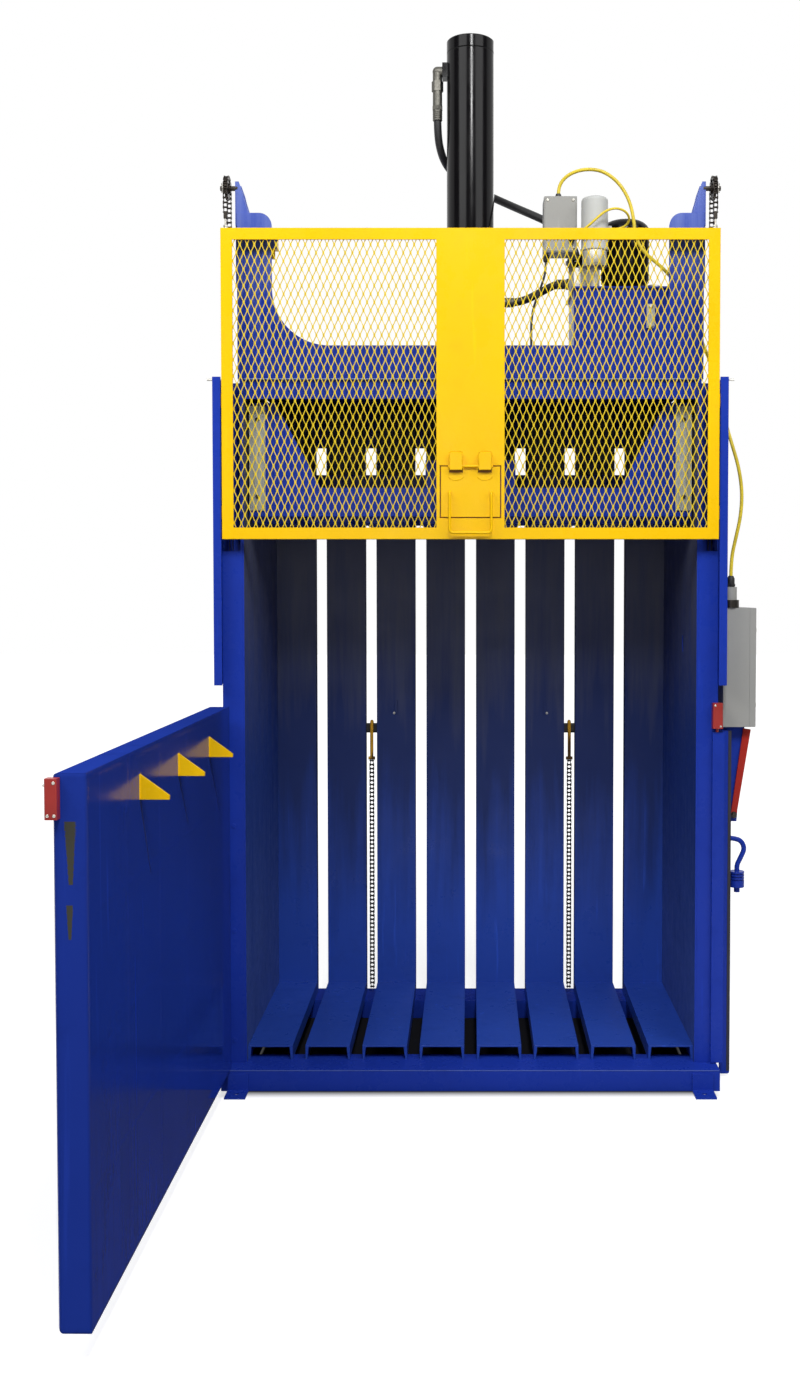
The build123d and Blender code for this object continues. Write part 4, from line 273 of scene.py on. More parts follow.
def enamel(
    name, colour, gloss=0.24, specular=0.12, round_edge=0.0018, scuffs=0.25, dirt=0.25, grime_and_shade=(), scrapes=()
):
    """Sprayed enamel: orange peel, uneven tone, hairline scuffs and dirt.

    Each grime_and_shade tint is (height where it starts, height where it is full, share, colour): dirt, wear
    or painted shade and sheen by height; each scrape is what streak_mask() takes, then its colour.
    """
    material, tree, shader = new_material(name)
    shader.inputs["Specular IOR Level"].default_value = specular
    place = object_coordinates(tree)
    broad = noise(tree, place, 1.4, 4.0)
    tone = remap(tree, broad, 0.3, 0.7)
    base = blend_colours(tree, tone, scaled(colour, 0.88), scaled(colour, 1.06))
    hairs = noise(tree, place, 34.0, 2.0, 0.6, stretch=(1.0, 1.0, 0.05))
    hair_mask = remap(tree, hairs, 0.66, 0.74, 0.0, scuffs)
    base = blend_colours(tree, hair_mask, base, scaled(colour, 1.7))
    specks = noise(tree, place, 9.0, 8.0, 0.7)
    speck_mask = remap(tree, specks, 0.56, 0.72, 0.0, dirt)
    base = blend_colours(tree, speck_mask, base, scaled(colour, 0.45))
    rough = remap(tree, specks, 0.3, 0.75, gloss * 0.8, gloss * 1.7)
    if grime_and_shade:
        height = add_node(tree, "ShaderNodeSeparateXYZ", {"Vector": place}).outputs["Z"]
        streaks = noise(tree, place, 22.0, 6.0, 0.6, stretch=(1.0, 1.0, 0.06))
        uneven = math_node(tree, "MULTIPLY", math_node(tree, "SUBTRACT", streaks, 0.5), 0.9)
        climb = math_node(tree, "ADD", height, uneven)
        # Each tint blends in with height: in places dirt or wear, in others painted shade or a painted sheen
        for low, high, share, tint in grime_and_shade:
            base = blend_colours(tree, remap(tree, climb, low, high, 0.0, share), base, tint)
            worn = remap(tree, climb, (low + high) / 2, high, 0.0, 0.1)
            rough = math_node(tree, "ADD", rough, worn)
    for axis, foot, top, side, tint in scrapes:
        mask = streak_mask(tree, place, axis, foot, top, side)
        base = blend_colours(tree, mask, base, tint)
        rough = math_node(tree, "MAXIMUM", rough, math_node(tree, "MULTIPLY", mask, 0.6))
    tree.links.new(base, shader.inputs["Base Color"])
    tree.links.new(rough, shader.inputs["Roughness"])
    peel = noise(tree, place, 260.0, 2.0)
    relief(tree, shader, peel, 0.05, 0.001, round_edge)
    return material


def metal(name, colour, gloss=0.35, grain=(1.0, 1.0, 1.0), scale=60.0, round_edge=0.0008):
    """Bare or plated metal with a fine grain and uneven shine."""
    material, tree, shader = new_material(name)
    place = object_coordinates(tree)
    lines = noise(tree, place, scale, 6.0, 0.6, stretch=grain)
    broad = noise(tree, place, 6.0, 4.0)
    base = blend_colours(tree, lines, scaled(colour, 0.7), scaled(colour, 1.2))
    stained = remap(tree, broad, 0.5, 0.75, 0.0, 0.35)
    base = blend_colours(tree, stained, base, scaled(colour, 0.5))
    tree.links.new(base, shader.inputs["Base Color"])
    rough = remap(tree, lines, 0.2, 0.8, gloss * 0.7, gloss * 1.4)
    tree.links.new(rough, shader.inputs["Roughness"])
    shader.inputs["Metallic"].default_value = 1.0
    relief(tree, shader, lines, 0.15, 0.0006, round_edge)
    return material


def moulded(name, colour, gloss=0.4, round_edge=0.0008):
    """Moulded plastic or rubber with a fine grain."""
    material, tree, shader = new_material(name)
    place = object_coordinates(tree)
    grain = noise(tree, place, 400.0, 3.0)
    broad = noise(tree, place, 11.0, 5.0)
    base = blend_colours(tree, remap(tree, broad, 0.3, 0.7), scaled(colour, 0.82), scaled(colour, 1.1))
    tree.links.new(base, shader.inputs["Base Color"])
    rough = remap(tree, broad, 0.3, 0.7, gloss * 0.85, gloss * 1.25)
    tree.links.new(rough, shader.inputs["Roughness"])
    relief(tree, shader, grain, 0.12, 0.0004, round_edge)
    return material


def door_point(along, off, height):
    """A place on the open door: along it from the hinge, off its plane towards the chamber, up."""
    cos, sin = math.cos(DOOR_OPEN), math.sin(DOOR_OPEN)
    return Vector((HINGE[0] + along * cos + off * sin, HINGE[1] - along * sin + off * cos, height))


# Marks on the door: each end mark is (height, middle, half width) at its foot and at its top,
# and each drip how far back from its dog it ends, and at what height
END_MARKS = (
    ((1.050, -0.8530, 0.0045), (1.186, -0.8535, 0.0125)),
    ((0.932, -0.8560, 0.0030), (1.006, -0.8560, 0.0075)),
)
END_MARK_DEPTH = 0.01
DRIPS = ((0.150, 0.974), (0.117, 1.012), (0.102, 0.959))
DRIP_DEPTH, DRIP_TOP, DRIP_FOOT, DRIP_START = 0.004, 0.0042, 0.0020, 0.002
DOOR_LENGTH = 1.66


def end_marks():
    """Worn strips on the door's free end, wide at the top and narrow at the foot."""
    side = (DOOR_END - END_MARK_DEPTH, DOOR_END + END_MARK_DEPTH)
    return [("X", foot, top, side, SCRAPE) for foot, top in END_MARKS]


def drip_marks():
    """Dark drips that slant down and back from the door's dogs."""
    marks = []
    free, hinged = (door_point(along, DOOR_FACE, 0).x for along in (DOOR_LENGTH, 0))
    side = (free - DRIP_DEPTH, hinged + DRIP_DEPTH)
    for middle, (back, height) in zip(DOG_MIDDLES, DRIPS):
        top = (DOG_BOTTOM + DRIP_START, door_point(middle, DOOR_FACE, 0).y, DRIP_TOP)
        foot = (height, door_point(middle - back, DOOR_FACE, 0).y, DRIP_FOOT)
        marks.append(("Y", foot, top, side, DRIP))
    return marks


# Tints climb from their first height, where they start, to their second, up to a share of the colour:
# painted shade, then wear and a painted sheen, in the chamber; a painted sheen on the header; a darker door;
# brown low on the hooks
SHADE_CLIMB = (0.35, 0.95, 0.85)
WEAR_AND_SHEEN_CLIMB = (1.15, 1.8, 0.85)
HEADER_SHEEN_CLIMB = (2.62, 3.02, 0.5)
DOOR_DARKENING_CLIMB = (0.0, 0.5, 0.35)
HOOK_CLIMB = (1.085, 1.045, 0.92)
SOFT_EDGE = 0.014

blue_paint = enamel("blue_paint", BLUE)
# The header's paint, lighter towards its top: a painted sheen
header_paint = enamel("header_paint", BLUE, grime_and_shade=((*HEADER_SHEEN_CLIMB, HEADER_SHEEN),))
seam_highlight_paint = enamel("seam_highlight_paint", SEAM_HIGHLIGHT, gloss=0.4, dirt=0.6)
base_highlight_paint = enamel("base_highlight_paint", BASE_EDGE_HIGHLIGHT, gloss=0.4, dirt=0.6)
receiver_shade_paint = enamel("receiver_shade_paint", RECEIVER_SHADE, gloss=0.4, dirt=0.4)
# Darker blue without a reflection on the door's top and free end: painted shade, with worn marks on the end
rim_shade_paint = enamel(
    "rim_shade_paint", RIM_SHADED_BLUE, gloss=0.35, specular=0.0, round_edge=SOFT_EDGE, scrapes=end_marks()
)
# Painted shade from 0.35 m up, then wear with a painted sheen at the top
chamber_shade_and_wear = ((*SHADE_CLIMB, SHADE_NAVY), (*WEAR_AND_SHEEN_CLIMB, WEAR_AND_SHEEN))
wall_shade_and_wear = ((*SHADE_CLIMB, WALL_SHADE_BLUE), (*WEAR_AND_SHEEN_CLIMB, WEAR_AND_SHEEN))
# The door darker from the floor up to half a metre, in the chamber's shade navy
door_darkening = ((*DOOR_DARKENING_CLIMB, SHADE_NAVY),)
chamber_paint = enamel(
    "chamber_paint", CHAMBER_LIT_BLUE, gloss=0.28, specular=0.24, scuffs=0.5, grime_and_shade=chamber_shade_and_wear
)
wall_paint = enamel("wall_paint", WALL_DUST_AND_LIGHT_BLUE, gloss=0.35, specular=0.2, scuffs=0.5, grime_and_shade=wall_shade_and_wear)
door_paint = enamel(
    "door_paint", BLUE, gloss=0.07, specular=0.34, round_edge=SOFT_EDGE, scuffs=0.5,
    grime_and_shade=door_darkening, scrapes=drip_marks(),
)
yellow_paint = enamel("yellow_paint", YELLOW, scuffs=0.1, dirt=0.1)
mesh_paint = enamel("mesh_paint", PALE_YELLOW, scuffs=0.1, dirt=0.1, round_edge=0.0)
red_paint = enamel("red_paint", RED, dirt=0.35)
black_paint = enamel("black_paint", BLACK, gloss=0.14, specular=0.14, scuffs=0.1, dirt=0.05)
stop_shade_paint = enamel("stop_shade_paint", STOP_SHADE_YELLOW, dirt=0.3)
grey_paint = enamel("grey_paint", BOX_GREY, gloss=0.4, dirt=0.2)
filter_paint = enamel("filter_paint", FILTER_GREY, gloss=0.3, dirt=0.1)
worn_steel = metal("worn_steel", WORN_STEEL, gloss=0.45, grain=(1.0, 1.0, 0.06))
zinc = metal("zinc", ZINC, gloss=0.45)
fitting_steel = metal("fitting_steel", FITTING, gloss=0.5)
dark_steel = metal("dark_steel", STEEL_DARK, gloss=0.4)
gold = enamel("gold_lacquer", GOLD, gloss=0.3, grime_and_shade=((*HOOK_CLIMB, HOOK_BROWN),))
chain_steel = metal("chain_steel", CHAIN_DARK, gloss=0.4, scale=120.0)
chain_black = moulded("chain_black", CHAIN_BLACK, gloss=0.5)
chrome = metal("chrome_rod", CHROME, gloss=0.08, scale=30.0)
rubber = moulded("black_rubber", RUBBER, gloss=0.5)
cord_rubber = moulded("yellow_rubber", CORD_YELLOW, gloss=0.45)
red_plastic = moulded("red_plastic", PLASTIC_RED, gloss=0.32)
green_plastic = moulded("green_plastic", START_GREEN, gloss=0.3)
glass = moulded("gauge_glass", GAUGE_PALE, gloss=0.12)

NODE_MATERIALS = {
    yellow_paint: ("gate_frame", "gate_flap"),
    black_paint: ("pump_motor", "cylinder"),
    grey_paint: ("junction_box", "control_box", "control_lid"),
    filter_paint: ("oil_filter",),
    gold: ("ejector_hooks",),
    worn_steel: ("wear_strips", "counterweight_left", "counterweight_right"),
    chrome: ("ram_rod",),
    chain_steel: ("sprocket_left", "sprocket_right"),
    red_paint: ("latch_lever",),
    red_plastic: ("door_switch", "door_actuator", "stop_button"),
    green_plastic: ("start_button",),
    door_paint: ("door",),
    header_paint: ("header_yoke",),
    wall_paint: ("side_wall_left", "side_wall_right"),
}


def paint_faces(node, material, test):
    """Another finish on the faces of a node whose middle and normal pass the test."""
    data = nodes[node].data
    slot = data.materials.find(material.name)
    if slot < 0:
        slot = len(data.materials)
        data.materials.append(material)
    for polygon in data.polygons:
        if test(polygon.center, polygon.normal):
            polygon.material_index = slot


def within(x=(-FAR, FAR), y=(-FAR, FAR), z=(-FAR, FAR), off_centre=0.0):
    """A test for faces whose middles lie in a box, and this far out from the machine's middle."""
    def test(point, normal):
        inside = all(low < value < high for value, (low, high) in zip(point, (x, y, z)))
        return inside and abs(point.x) > off_centre

    return test


def off_door(point):
    """How far a point stands off the door's hinge line, square to the door."""
    x, y = point.x - HINGE[0], point.y - HINGE[1]
    return x * math.sin(DOOR_OPEN) + y * math.cos(DOOR_OPEN)


def paint_door():
    """Painted shade on the door's top and free end, which look up and to the front: a darker blue without a
    reflection, with worn marks on the end; and yellow dogs.
    """
    face = DOOR_FACE + HAIR
    paint_faces("door", rim_shade_paint, lambda p, n: (n.z > 0.3 or n.y < -0.7) and off_door(p) < face)
    paint_faces("door", yellow_paint, lambda p, n: off_door(p) > face)


def paint_power_unit():
    """Plated, black and clear parts of the cylinder, the oil tank and the filter."""
    ports = within(z=(DECK_TOP + PORTS_OVER_DECK, FAR), off_centre=PORT_FACE + HAIR / 2)
    paint_faces("cylinder", fitting_steel, ports)
    flange = DECK_TOP + CYLINDER_FLANGE + HAIR / 2
    bolts = within(z=(flange, flange + FLANGE_BOLT), off_centre=FLANGE_BOLTS_OUT)
    paint_faces("cylinder", dark_steel, bolts)
    paint_faces("oil_tank", zinc, within(z=(TANK_LID_TOP + HAIR, FAR)))
    valve = (VALVE_Y - VALVE_HALF, VALVE_Y + VALVE_HALF)
    paint_faces("oil_tank", black_paint, within(y=valve, z=(MANIFOLD_TOP + HAIR, FAR)))
    gauge = within(y=(-FAR, TANK_LOW.y + GAUGE_DEPTH), z=(-FAR, TANK_LID_TOP - TANK_LID_DROP))
    paint_faces("oil_tank", glass, gauge)
    paint_faces("oil_filter", zinc, within(z=(-FAR, FILTER_SEAT)))


def paint_frame():
    """Plated rails, dark bolts and crossbars, and the plain outsides of the chamber."""
    for side in ("left", "right"):
        low, high = corners(f"guide_rail_{side}")
        web = max(abs(low.x), abs(high.x)) - RAIL_WEB
        paint_faces(f"guide_rail_{side}", zinc, within(off_centre=web))
        paint_faces(f"side_wall_{side}", blue_paint, within(off_centre=HALF_CHAMBER + HAIR))
    paint_faces("header_yoke", dark_steel, within(off_centre=ARM_OUTSIDE + HAIR))
    behind = (Y_FRONT + HEADER_PLATE, FAR)
    paint_faces("header_yoke", yellow_paint, within(STOP_BLOCK_X, behind, STOP_BLOCK_Z))
    strip_face = corners("wear_strips")[0].y + STRIP_RECESS
    paint_faces("wear_strips", dark_steel, within(y=(-FAR, strip_face)))
    for name in nodes:
        if name.startswith("back_slat"):
            paint_faces(name, blue_paint, lambda p, n: n.y > 0.5)
    for slat in ("back_slat_2", "back_slat_6"):
        setback = corners(slat)[0].y + SLAT_SETBACK
        paint_faces(slat, chain_black, within(y=(setback, FAR), z=CROSSBAR_Z))


def paint_boxes():
    """Glands and hubs of the two electric boxes, and the latch lever's pin."""
    paint_faces("junction_box", dark_steel, within(z=(JUNCTION_HIGH + HAIR, FAR)))
    paint_faces("junction_box", dark_steel, within((-FAR, JUNCTION_MIDDLE), z=(-FAR, JUNCTION_LOW - HAIR)))
    paint_faces("control_box", dark_steel, within(z=(LID_HIGH.z + HAIR, COLLAR_TOP + HAIR)))
    paint_faces("control_box", rubber, within(z=(HUB_TOP + HAIR, FAR)))
    pin_x, pin_z = ((middle - LEVER_PIN, middle + LEVER_PIN) for middle in LEVER_PIVOT)
    paint_faces("latch_channel", dark_steel, within(pin_x, z=pin_z))


def dress_nodes():
    """Gives every CAD node its finish, and some faces one of their own."""
    chosen = {name: material for material, names in NODE_MATERIALS.items() for name in names}
    for name, obj in nodes.items():
        inside = name.startswith(("back_slat", "floor_channel"))
        obj.data.materials.clear()
        obj.data.materials.append(chosen.get(name, chamber_paint if inside else blue_paint))
    paint_door()
    paint_power_unit()
    paint_frame()
    paint_boxes()


# Mesh building
def finish_piece(name, mesh, material, body=None, smooth=35.0):
    """Turns a bmesh into a piece of the scene, riding on a body where one is given."""
    bmesh.ops.recalc_face_normals(mesh, faces=mesh.faces)
    data = bpy.data.meshes.new(name)
    mesh.to_mesh(data)
    mesh.free()
    data.polygons.foreach_set("use_smooth", [True] * len(data.polygons))
    data.set_sharp_from_angle(angle=math.radians(smooth))
    data.materials.append(material)
    obj = bpy.data.objects.new(name, data)
    bpy.context.scene.collection.objects.link(obj)
    if body:
        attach(obj, body)
    return obj


def skin(mesh, loops, closed=False):
    """Faces from loop to loop of points, capped at both ends or closed back on the first loop."""
    made = [[mesh.verts.new(point) for point in points] for points in loops]
    following = made[1:] + made[:1] if closed else made[1:]
    for near, far in zip(made, following):
        for k in range(len(near)):
            j = (k + 1) % len(near)
            mesh.faces.new((near[k], near[j], far[j], far[k]))
    if not closed:
        mesh.faces.new(reversed(made[0]))
        mesh.faces.new(made[-1])


def ring(centre, across, up, radius, count, turn=0.0):
    """Points on a circle round a centre."""
    points = []
    for k in range(count):
        angle = turn + 2 * math.pi * k / count
        points.append(centre + across * (radius * math.cos(angle)) + up * (radius * math.sin(angle)))
    return points


def frame_along(direction):
    """Two unit vectors square to a direction."""
    direction = direction.normalized()
    helper = Vector((0, 0, 1)) if abs(direction.z) < 0.9 else Vector((1, 0, 0))
    across = direction.cross(helper).normalized()
    return across, direction.cross(across).normalized()


def add_lathe(mesh, start, direction, profile, count=24, closed=False):
    """A turned form along an axis: profile is (distance along, radius) pairs."""
    start, direction = Vector(start), Vector(direction).normalized()
    across, up = frame_along(direction)
    loops = [ring(start + direction * along, across, up, radius, count) for along, radius in profile]
    skin(mesh, loops, closed)


def add_rod(mesh, start, end, radius, count=12):
    """A plain round bar between two points."""
    start, end = Vector(start), Vector(end)
    add_lathe(mesh, start, end - start, [(0, radius), ((end - start).length, radius)], count)


def add_prism(mesh, points, offset):
    """A flat outline given thickness along a vector."""
    skin(mesh, [points, [point + offset for point in points]])


def add_block(mesh, low, high, bevel):
    """A box between two corners, its edges eased."""
    low, high = Vector(low), Vector(high)
    verts = bmesh.ops.create_cube(mesh, size=1.0)["verts"]
    bmesh.ops.scale(mesh, vec=high - low, verts=verts)
    bmesh.ops.translate(mesh, vec=(low + high) / 2, verts=verts)
    edges = {edge for vert in verts for edge in vert.link_edges}
    bmesh.ops.bevel(mesh, geom=list(edges), offset=bevel, segments=2, affect="EDGES")


def add_hex_bolt(mesh, place, direction, size, height):
    """A hexagon head with an eased top, seated on a face."""
    profile = ((0.0, size / 2), (height * 0.8, size / 2), (height, size * 0.42))
    add_lathe(mesh, place, direction, profile, 6)


# Expanded mesh of the gate
DIAMOND_WIDTH, DIAMOND_HEIGHT = 0.024, 0.054
STRAND_WIDTH, STRAND_DEPTH = 0.0029, 0.0024
STRAND_TILT = math.radians(32)
KNUCKLE = 0.0075


def strand_section(middle, tilt):
    """Corners of a strand's section, turned about the vertical."""
    across = Vector((math.cos(tilt), math.sin(tilt), 0)) * (STRAND_WIDTH / 2)
    deep = Vector((-math.sin(tilt), math.cos(tilt), 0)) * (STRAND_DEPTH / 2)
    return [middle + across * a + deep * b for a, b in ((-1, -1), (1, -1), (1, 1), (-1, 1))]


def expanded_panel(node):
    """One gate panel of expanded metal: zigzag strands that meet at their knuckles."""
    low, high = corners(node)
    middle = (low + high) / 2
    half_x, half_z = DIAMOND_WIDTH / 2, DIAMOND_HEIGHT / 2
    strands = int((high.x - low.x) / half_x)
    rows = int((high.z - low.z) / half_z)
    start_x = middle.x - strands * half_x / 2
    start_z = middle.z - rows * half_z / 2
    mesh = bmesh.new()
    for strand in range(strands):
        loops = []
        for row in range(rows + 1):
            lean = -1 if (strand + row) % 2 else 1
            column = strand if lean > 0 else strand + 1
            x = start_x + column * half_x + lean * STRAND_WIDTH / 2
            for end in (-1, 1):
                z = start_z + row * half_z + end * KNUCKLE / 2
                place = Vector((x, middle.y, min(max(z, low.z), high.z)))
                loops.append(strand_section(place, lean * STRAND_TILT))
        skin(mesh, loops)
    piece = finish_piece(f"expanded_{node}", mesh, mesh_paint, "gate", smooth=20.0)
    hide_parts(node)


# Roller chains: width inside the links, bar or roller radius, plate thickness, how far the
# rollers flare at their ends, and how far the pins stand out
CHAIN_PITCH = 0.015875
PLATE_HALF_HEIGHT, PLATE_WAIST = 0.0062, 0.0042
PLATE_GAP = 0.0002
CHAIN_PIN, CHAIN_HANG = 0.0021, 0.004
GATE_CHAIN = {"inside": 0.0096, "roller": 0.0032, "plate": 0.0015, "flare": 0.0, "proud": 0.0012}
EJECTOR_CHAIN = {"inside": 0.0088, "roller": 0.0034, "plate": 0.0024, "flare": 0.0020, "proud": 0.0004}


def plate_outline(start, end, across):
    """Outline of a figure-eight side plate between two pins."""
    along = (end - start).normalized()
    up = across.cross(along).normalized()
    waist = up * PLATE_WAIST
    points = []
    for centre, turn, inward in ((start, math.pi / 2, -waist), (end, -math.pi / 2, waist)):
        for k in range(7):
            angle = turn + math.pi * k / 6
            points.append(centre + (along * math.cos(angle) + up * math.sin(angle)) * PLATE_HALF_HEIGHT)
        points.append((start + end) / 2 + inward)
    return points


def add_chain(mesh, pins, inside, roller, plate, flare, proud):
    """A chain through a list of pin centres: inner and outer links by turns, rollers or flared bars."""
    across = Vector(ACROSS)
    for index, (start, end) in enumerate(zip(pins, pins[1:])):
        offset = inside / 2 + (plate + PLATE_GAP if index % 2 else 0.0)
        outline = plate_outline(start, end, across)
        for shift in (-offset - plate, offset):
            add_prism(mesh, [point + across * shift for point in outline], across * plate)
    profile = [(0.0, roller)]
    if flare:
        profile = [(0.0, roller + flare), (flare * 0.4, roller + flare * 0.35), (flare, roller)]
    profile += [(inside - along, radius) for along, radius in reversed(profile)]
    reach = across * (inside / 2 + 2 * plate + proud)
    for pin in pins:
        add_lathe(mesh, pin - across * (inside / 2), across, profile, 10)
        add_rod(mesh, pin - reach, pin + reach, CHAIN_PIN, 8)


def ejector_chains():
    """The two bale ejector chains, pin by pin, from the hooks down to the base."""
    low, high = corners("ejector_chains")
    half = EJECTOR_CHAIN["inside"] / 2 + 2 * EJECTOR_CHAIN["plate"] + EJECTOR_CHAIN["proud"]
    count = int((high.z - low.z) / CHAIN_PITCH)
    top = high.z - CHAIN_HANG
    mesh = bmesh.new()
    for x in (low.x + half, high.x - half):
        pins = [Vector((x, (low.y + high.y) / 2, top - k * CHAIN_PITCH)) for k in range(count)]
        add_chain(mesh, pins, **EJECTOR_CHAIN)
    piece = finish_piece("ejector_link_chains", mesh, chain_black, "frame")
    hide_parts("ejector_chains")


SPROCKET_TEETH = 14
SPROCKET_RADIUS = CHAIN_PITCH / (2 * math.sin(math.pi / SPROCKET_TEETH))
FRONT_LINKS, TEETH_IN_MESH = 5, 7
CLEVIS_HALF, CLEVIS_DROP, CLEVIS_RISE, CLEVIS_EASE = 0.006, 0.022, 0.002, 0.001
ROD_RADIUS, ROD_ROOT, ROD_STEPS = 0.0040, 0.0034, 26
ROD_DROP, ROD_HELD = 0.02, 0.01
RUN_LEVELS, RUN_GAP, RUN_HELD = 60, 0.002, 0.02


def sprocket_pins(centre):
    """Pin centres from the rod's clevis up the front, over the sprocket and down into the post."""
    front, back = centre.y - SPROCKET_RADIUS, centre.y + SPROCKET_RADIUS
    first = centre.z - CHAIN_PITCH / 2
    pins = [Vector((centre.x, front, first - k * CHAIN_PITCH)) for k in range(FRONT_LINKS, -1, -1)]
    for step in range(TEETH_IN_MESH):
        angle = math.pi / 2 + (TEETH_IN_MESH // 2 - step) * 2 * math.pi / SPROCKET_TEETH
        pins.append(centre + Vector((0, math.cos(angle), math.sin(angle))) * SPROCKET_RADIUS)
    count = int((first - FRAME_TOP) / CHAIN_PITCH) + 2
    return pins + [Vector((centre.x, back, first - k * CHAIN_PITCH)) for k in range(count)]


def gate_rod(name, x, y, low, high):
    """Threaded rod between the gate and its chain."""
    profile = [(0.0, ROD_RADIUS)]
    for k in range(ROD_STEPS):
        profile.append(((high - low) * (k + 0.5) / ROD_STEPS, ROD_RADIUS if k % 2 else ROD_ROOT))
    profile.append((high - low, ROD_RADIUS))
    mesh = bmesh.new()
    add_lathe(mesh, (x, y, low), UP, profile, 12)
    rod = finish_piece(f"gate_rod_{name}", mesh, zinc, smooth=20.0)
    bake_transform(rod)


def chain_run(name, x, y, low, high):
    """The chain's straight run inside the post."""
    plate, half = GATE_CHAIN["plate"], GATE_CHAIN["inside"] / 2
    mesh = bmesh.new()
    for left in (x - half - plate, x + half):
        section = [(left, -1), (left + plate, -1), (left + plate, 1), (left, 1)]
        loops = []
        for k in range(RUN_LEVELS + 1):
            z = low + RUN_GAP + (high - low - RUN_GAP) * k / RUN_LEVELS
            loops.append([(edge, y + side * PLATE_HALF_HEIGHT, z) for edge, side in section])
        skin(mesh, loops)
    run = finish_piece(f"gate_chain_run_{name}", mesh, chain_steel)
    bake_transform(run)


def gate_chain(name):
    """One gate chain: links over the sprocket, threaded rod to the gate, hidden run to the weight."""
    pins = sprocket_pins(middle_of(f"sprocket_{name}"))
    top = pins[0]
    mesh = bmesh.new()
    add_chain(mesh, pins, **GATE_CHAIN)
    low = top - Vector((CLEVIS_HALF, CLEVIS_HALF, CLEVIS_DROP))
    add_block(mesh, low, top + Vector((CLEVIS_HALF, CLEVIS_HALF, CLEVIS_RISE)), CLEVIS_EASE)
    chain = finish_piece(f"gate_roller_chain_{name}", mesh, chain_steel, "frame")
    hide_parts(f"gate_chain_{name}")
    gate_rod(name, top.x, top.y, GATE_HIGH.z, top.z - ROD_DROP)
    chain_run(name, top.x, pins[-1].y, corners(f"counterweight_{name}")[1].z, pins[-1].z)


# Routes of hoses and cords, the same points as their solids, in metres
PRESSURE_HOSE = [
    (-0.119, 0.0, 3.402), (-0.119, 0.0, 3.338), (-0.112, 0.024, 3.28), (-0.092, 0.066, 3.236),
    (-0.054, 0.104, 3.202), (-0.004, 0.126, 3.174), (0.056, 0.124, 3.144), (0.116, 0.092, 3.108),
    (0.172, 0.046, 3.07), (0.226, 0.0, 3.034), (0.28, -0.04, 2.998), (0.326, -0.064, 2.956),
    (0.361, -0.075, 2.908), (0.38, -0.078, 2.866), (0.38, -0.078, 2.831),
]
RETURN_HOSE = [
    (0.1255, 0.0, 2.72), (0.162, 0.0, 2.72), (0.203, -0.009, 2.729), (0.24, -0.027, 2.744),
    (0.274, -0.048, 2.759), (0.306, -0.066, 2.771), (0.338, -0.066, 2.771),
]
CONTROL_CORD = [
    (0.305, -0.2, 3.042), (0.305, -0.2, 3.068), (0.316, -0.205, 3.095), (0.34, -0.214, 3.115),
    (0.374, -0.224, 3.126), (0.413, -0.232, 3.128), (0.455, -0.238, 3.119), (0.494, -0.24, 3.094),
    (0.526, -0.242, 3.057), (0.549, -0.244, 3.01), (0.561, -0.244, 2.957), (0.567, -0.242, 2.902),
    (0.586, -0.24, 2.856), (0.622, -0.238, 2.822), (0.662, -0.238, 2.79), (0.696, -0.242, 2.752),
    (0.726, -0.25, 2.702), (0.752, -0.256, 2.646), (0.775, -0.262, 2.586), (0.798, -0.266, 2.524),
    (0.824, -0.27, 2.46), (0.846, -0.278, 2.392), (0.858, -0.294, 2.32), (0.87, -0.314, 2.244),
    (0.89, -0.328, 2.17), (0.912, -0.332, 2.094), (0.924, -0.332, 2.012), (0.92, -0.33, 1.93),
    (0.903, -0.328, 1.852), (0.888, -0.328, 1.782), (0.888, -0.328, 1.711),
]
VALVE_CORD = [
    (0.348, -0.252, 2.884), (0.348, -0.282, 2.884), (0.362, -0.31, 2.888), (0.39, -0.328, 2.902),
    (0.421, -0.334, 2.928), (0.452, -0.334, 2.956), (0.49, -0.328, 2.97), (0.528, -0.314, 2.962),
    (0.546, -0.286, 2.938), (0.52, -0.258, 2.916), (0.484, -0.258, 2.916),
]
VALVE_CABLE = [
    (0.262, -0.2, 2.828), (0.262, -0.2, 2.788), (0.25, -0.216, 2.744), (0.232, -0.248, 2.694),
    (0.214, -0.284, 2.64), (0.206, -0.316, 2.584), (0.206, -0.328, 2.536), (0.206, -0.328, 2.497),
]
CORDS = (
    ("pressure_hose", PRESSURE_HOSE, 0.028, 0.901, rubber, "stiff"),
    ("return_hose", RETURN_HOSE, 0.028, 0.235, rubber, "stiff"),
    ("control_cord", CONTROL_CORD, 0.012, 1.754, cord_rubber, "medium"),
    ("valve_cord", VALVE_CORD, 0.008, 0.372, cord_rubber, "medium"),
    ("valve_cable", VALVE_CABLE, 0.008, 0.370, rubber, "medium"),
)


def lay_cord(node, route, diameter, length, material, stiffness):
    """A hose or cord on one smooth curve between its two fittings."""
    curve = bpy.data.curves.new(f"{node}_line", "CURVE")
    curve.dimensions = "3D"
    curve.bevel_depth = diameter / 2
    curve.bevel_resolution = 5
    curve.resolution_u = 8
    curve.use_fill_caps = True
    spline = curve.splines.new("NURBS")
    spline.points.add(len(route) - 1)
    for point, place in zip(spline.points, route):
        point.co = (*place, 1.0)
    spline.order_u = 3
    spline.use_endpoint_u = True
    curve.materials.append(material)
    piece = bpy.data.objects.new(f"{node}_line", curve)
    bpy.context.scene.collection.objects.link(piece)
    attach(piece, "frame")
    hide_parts(node)


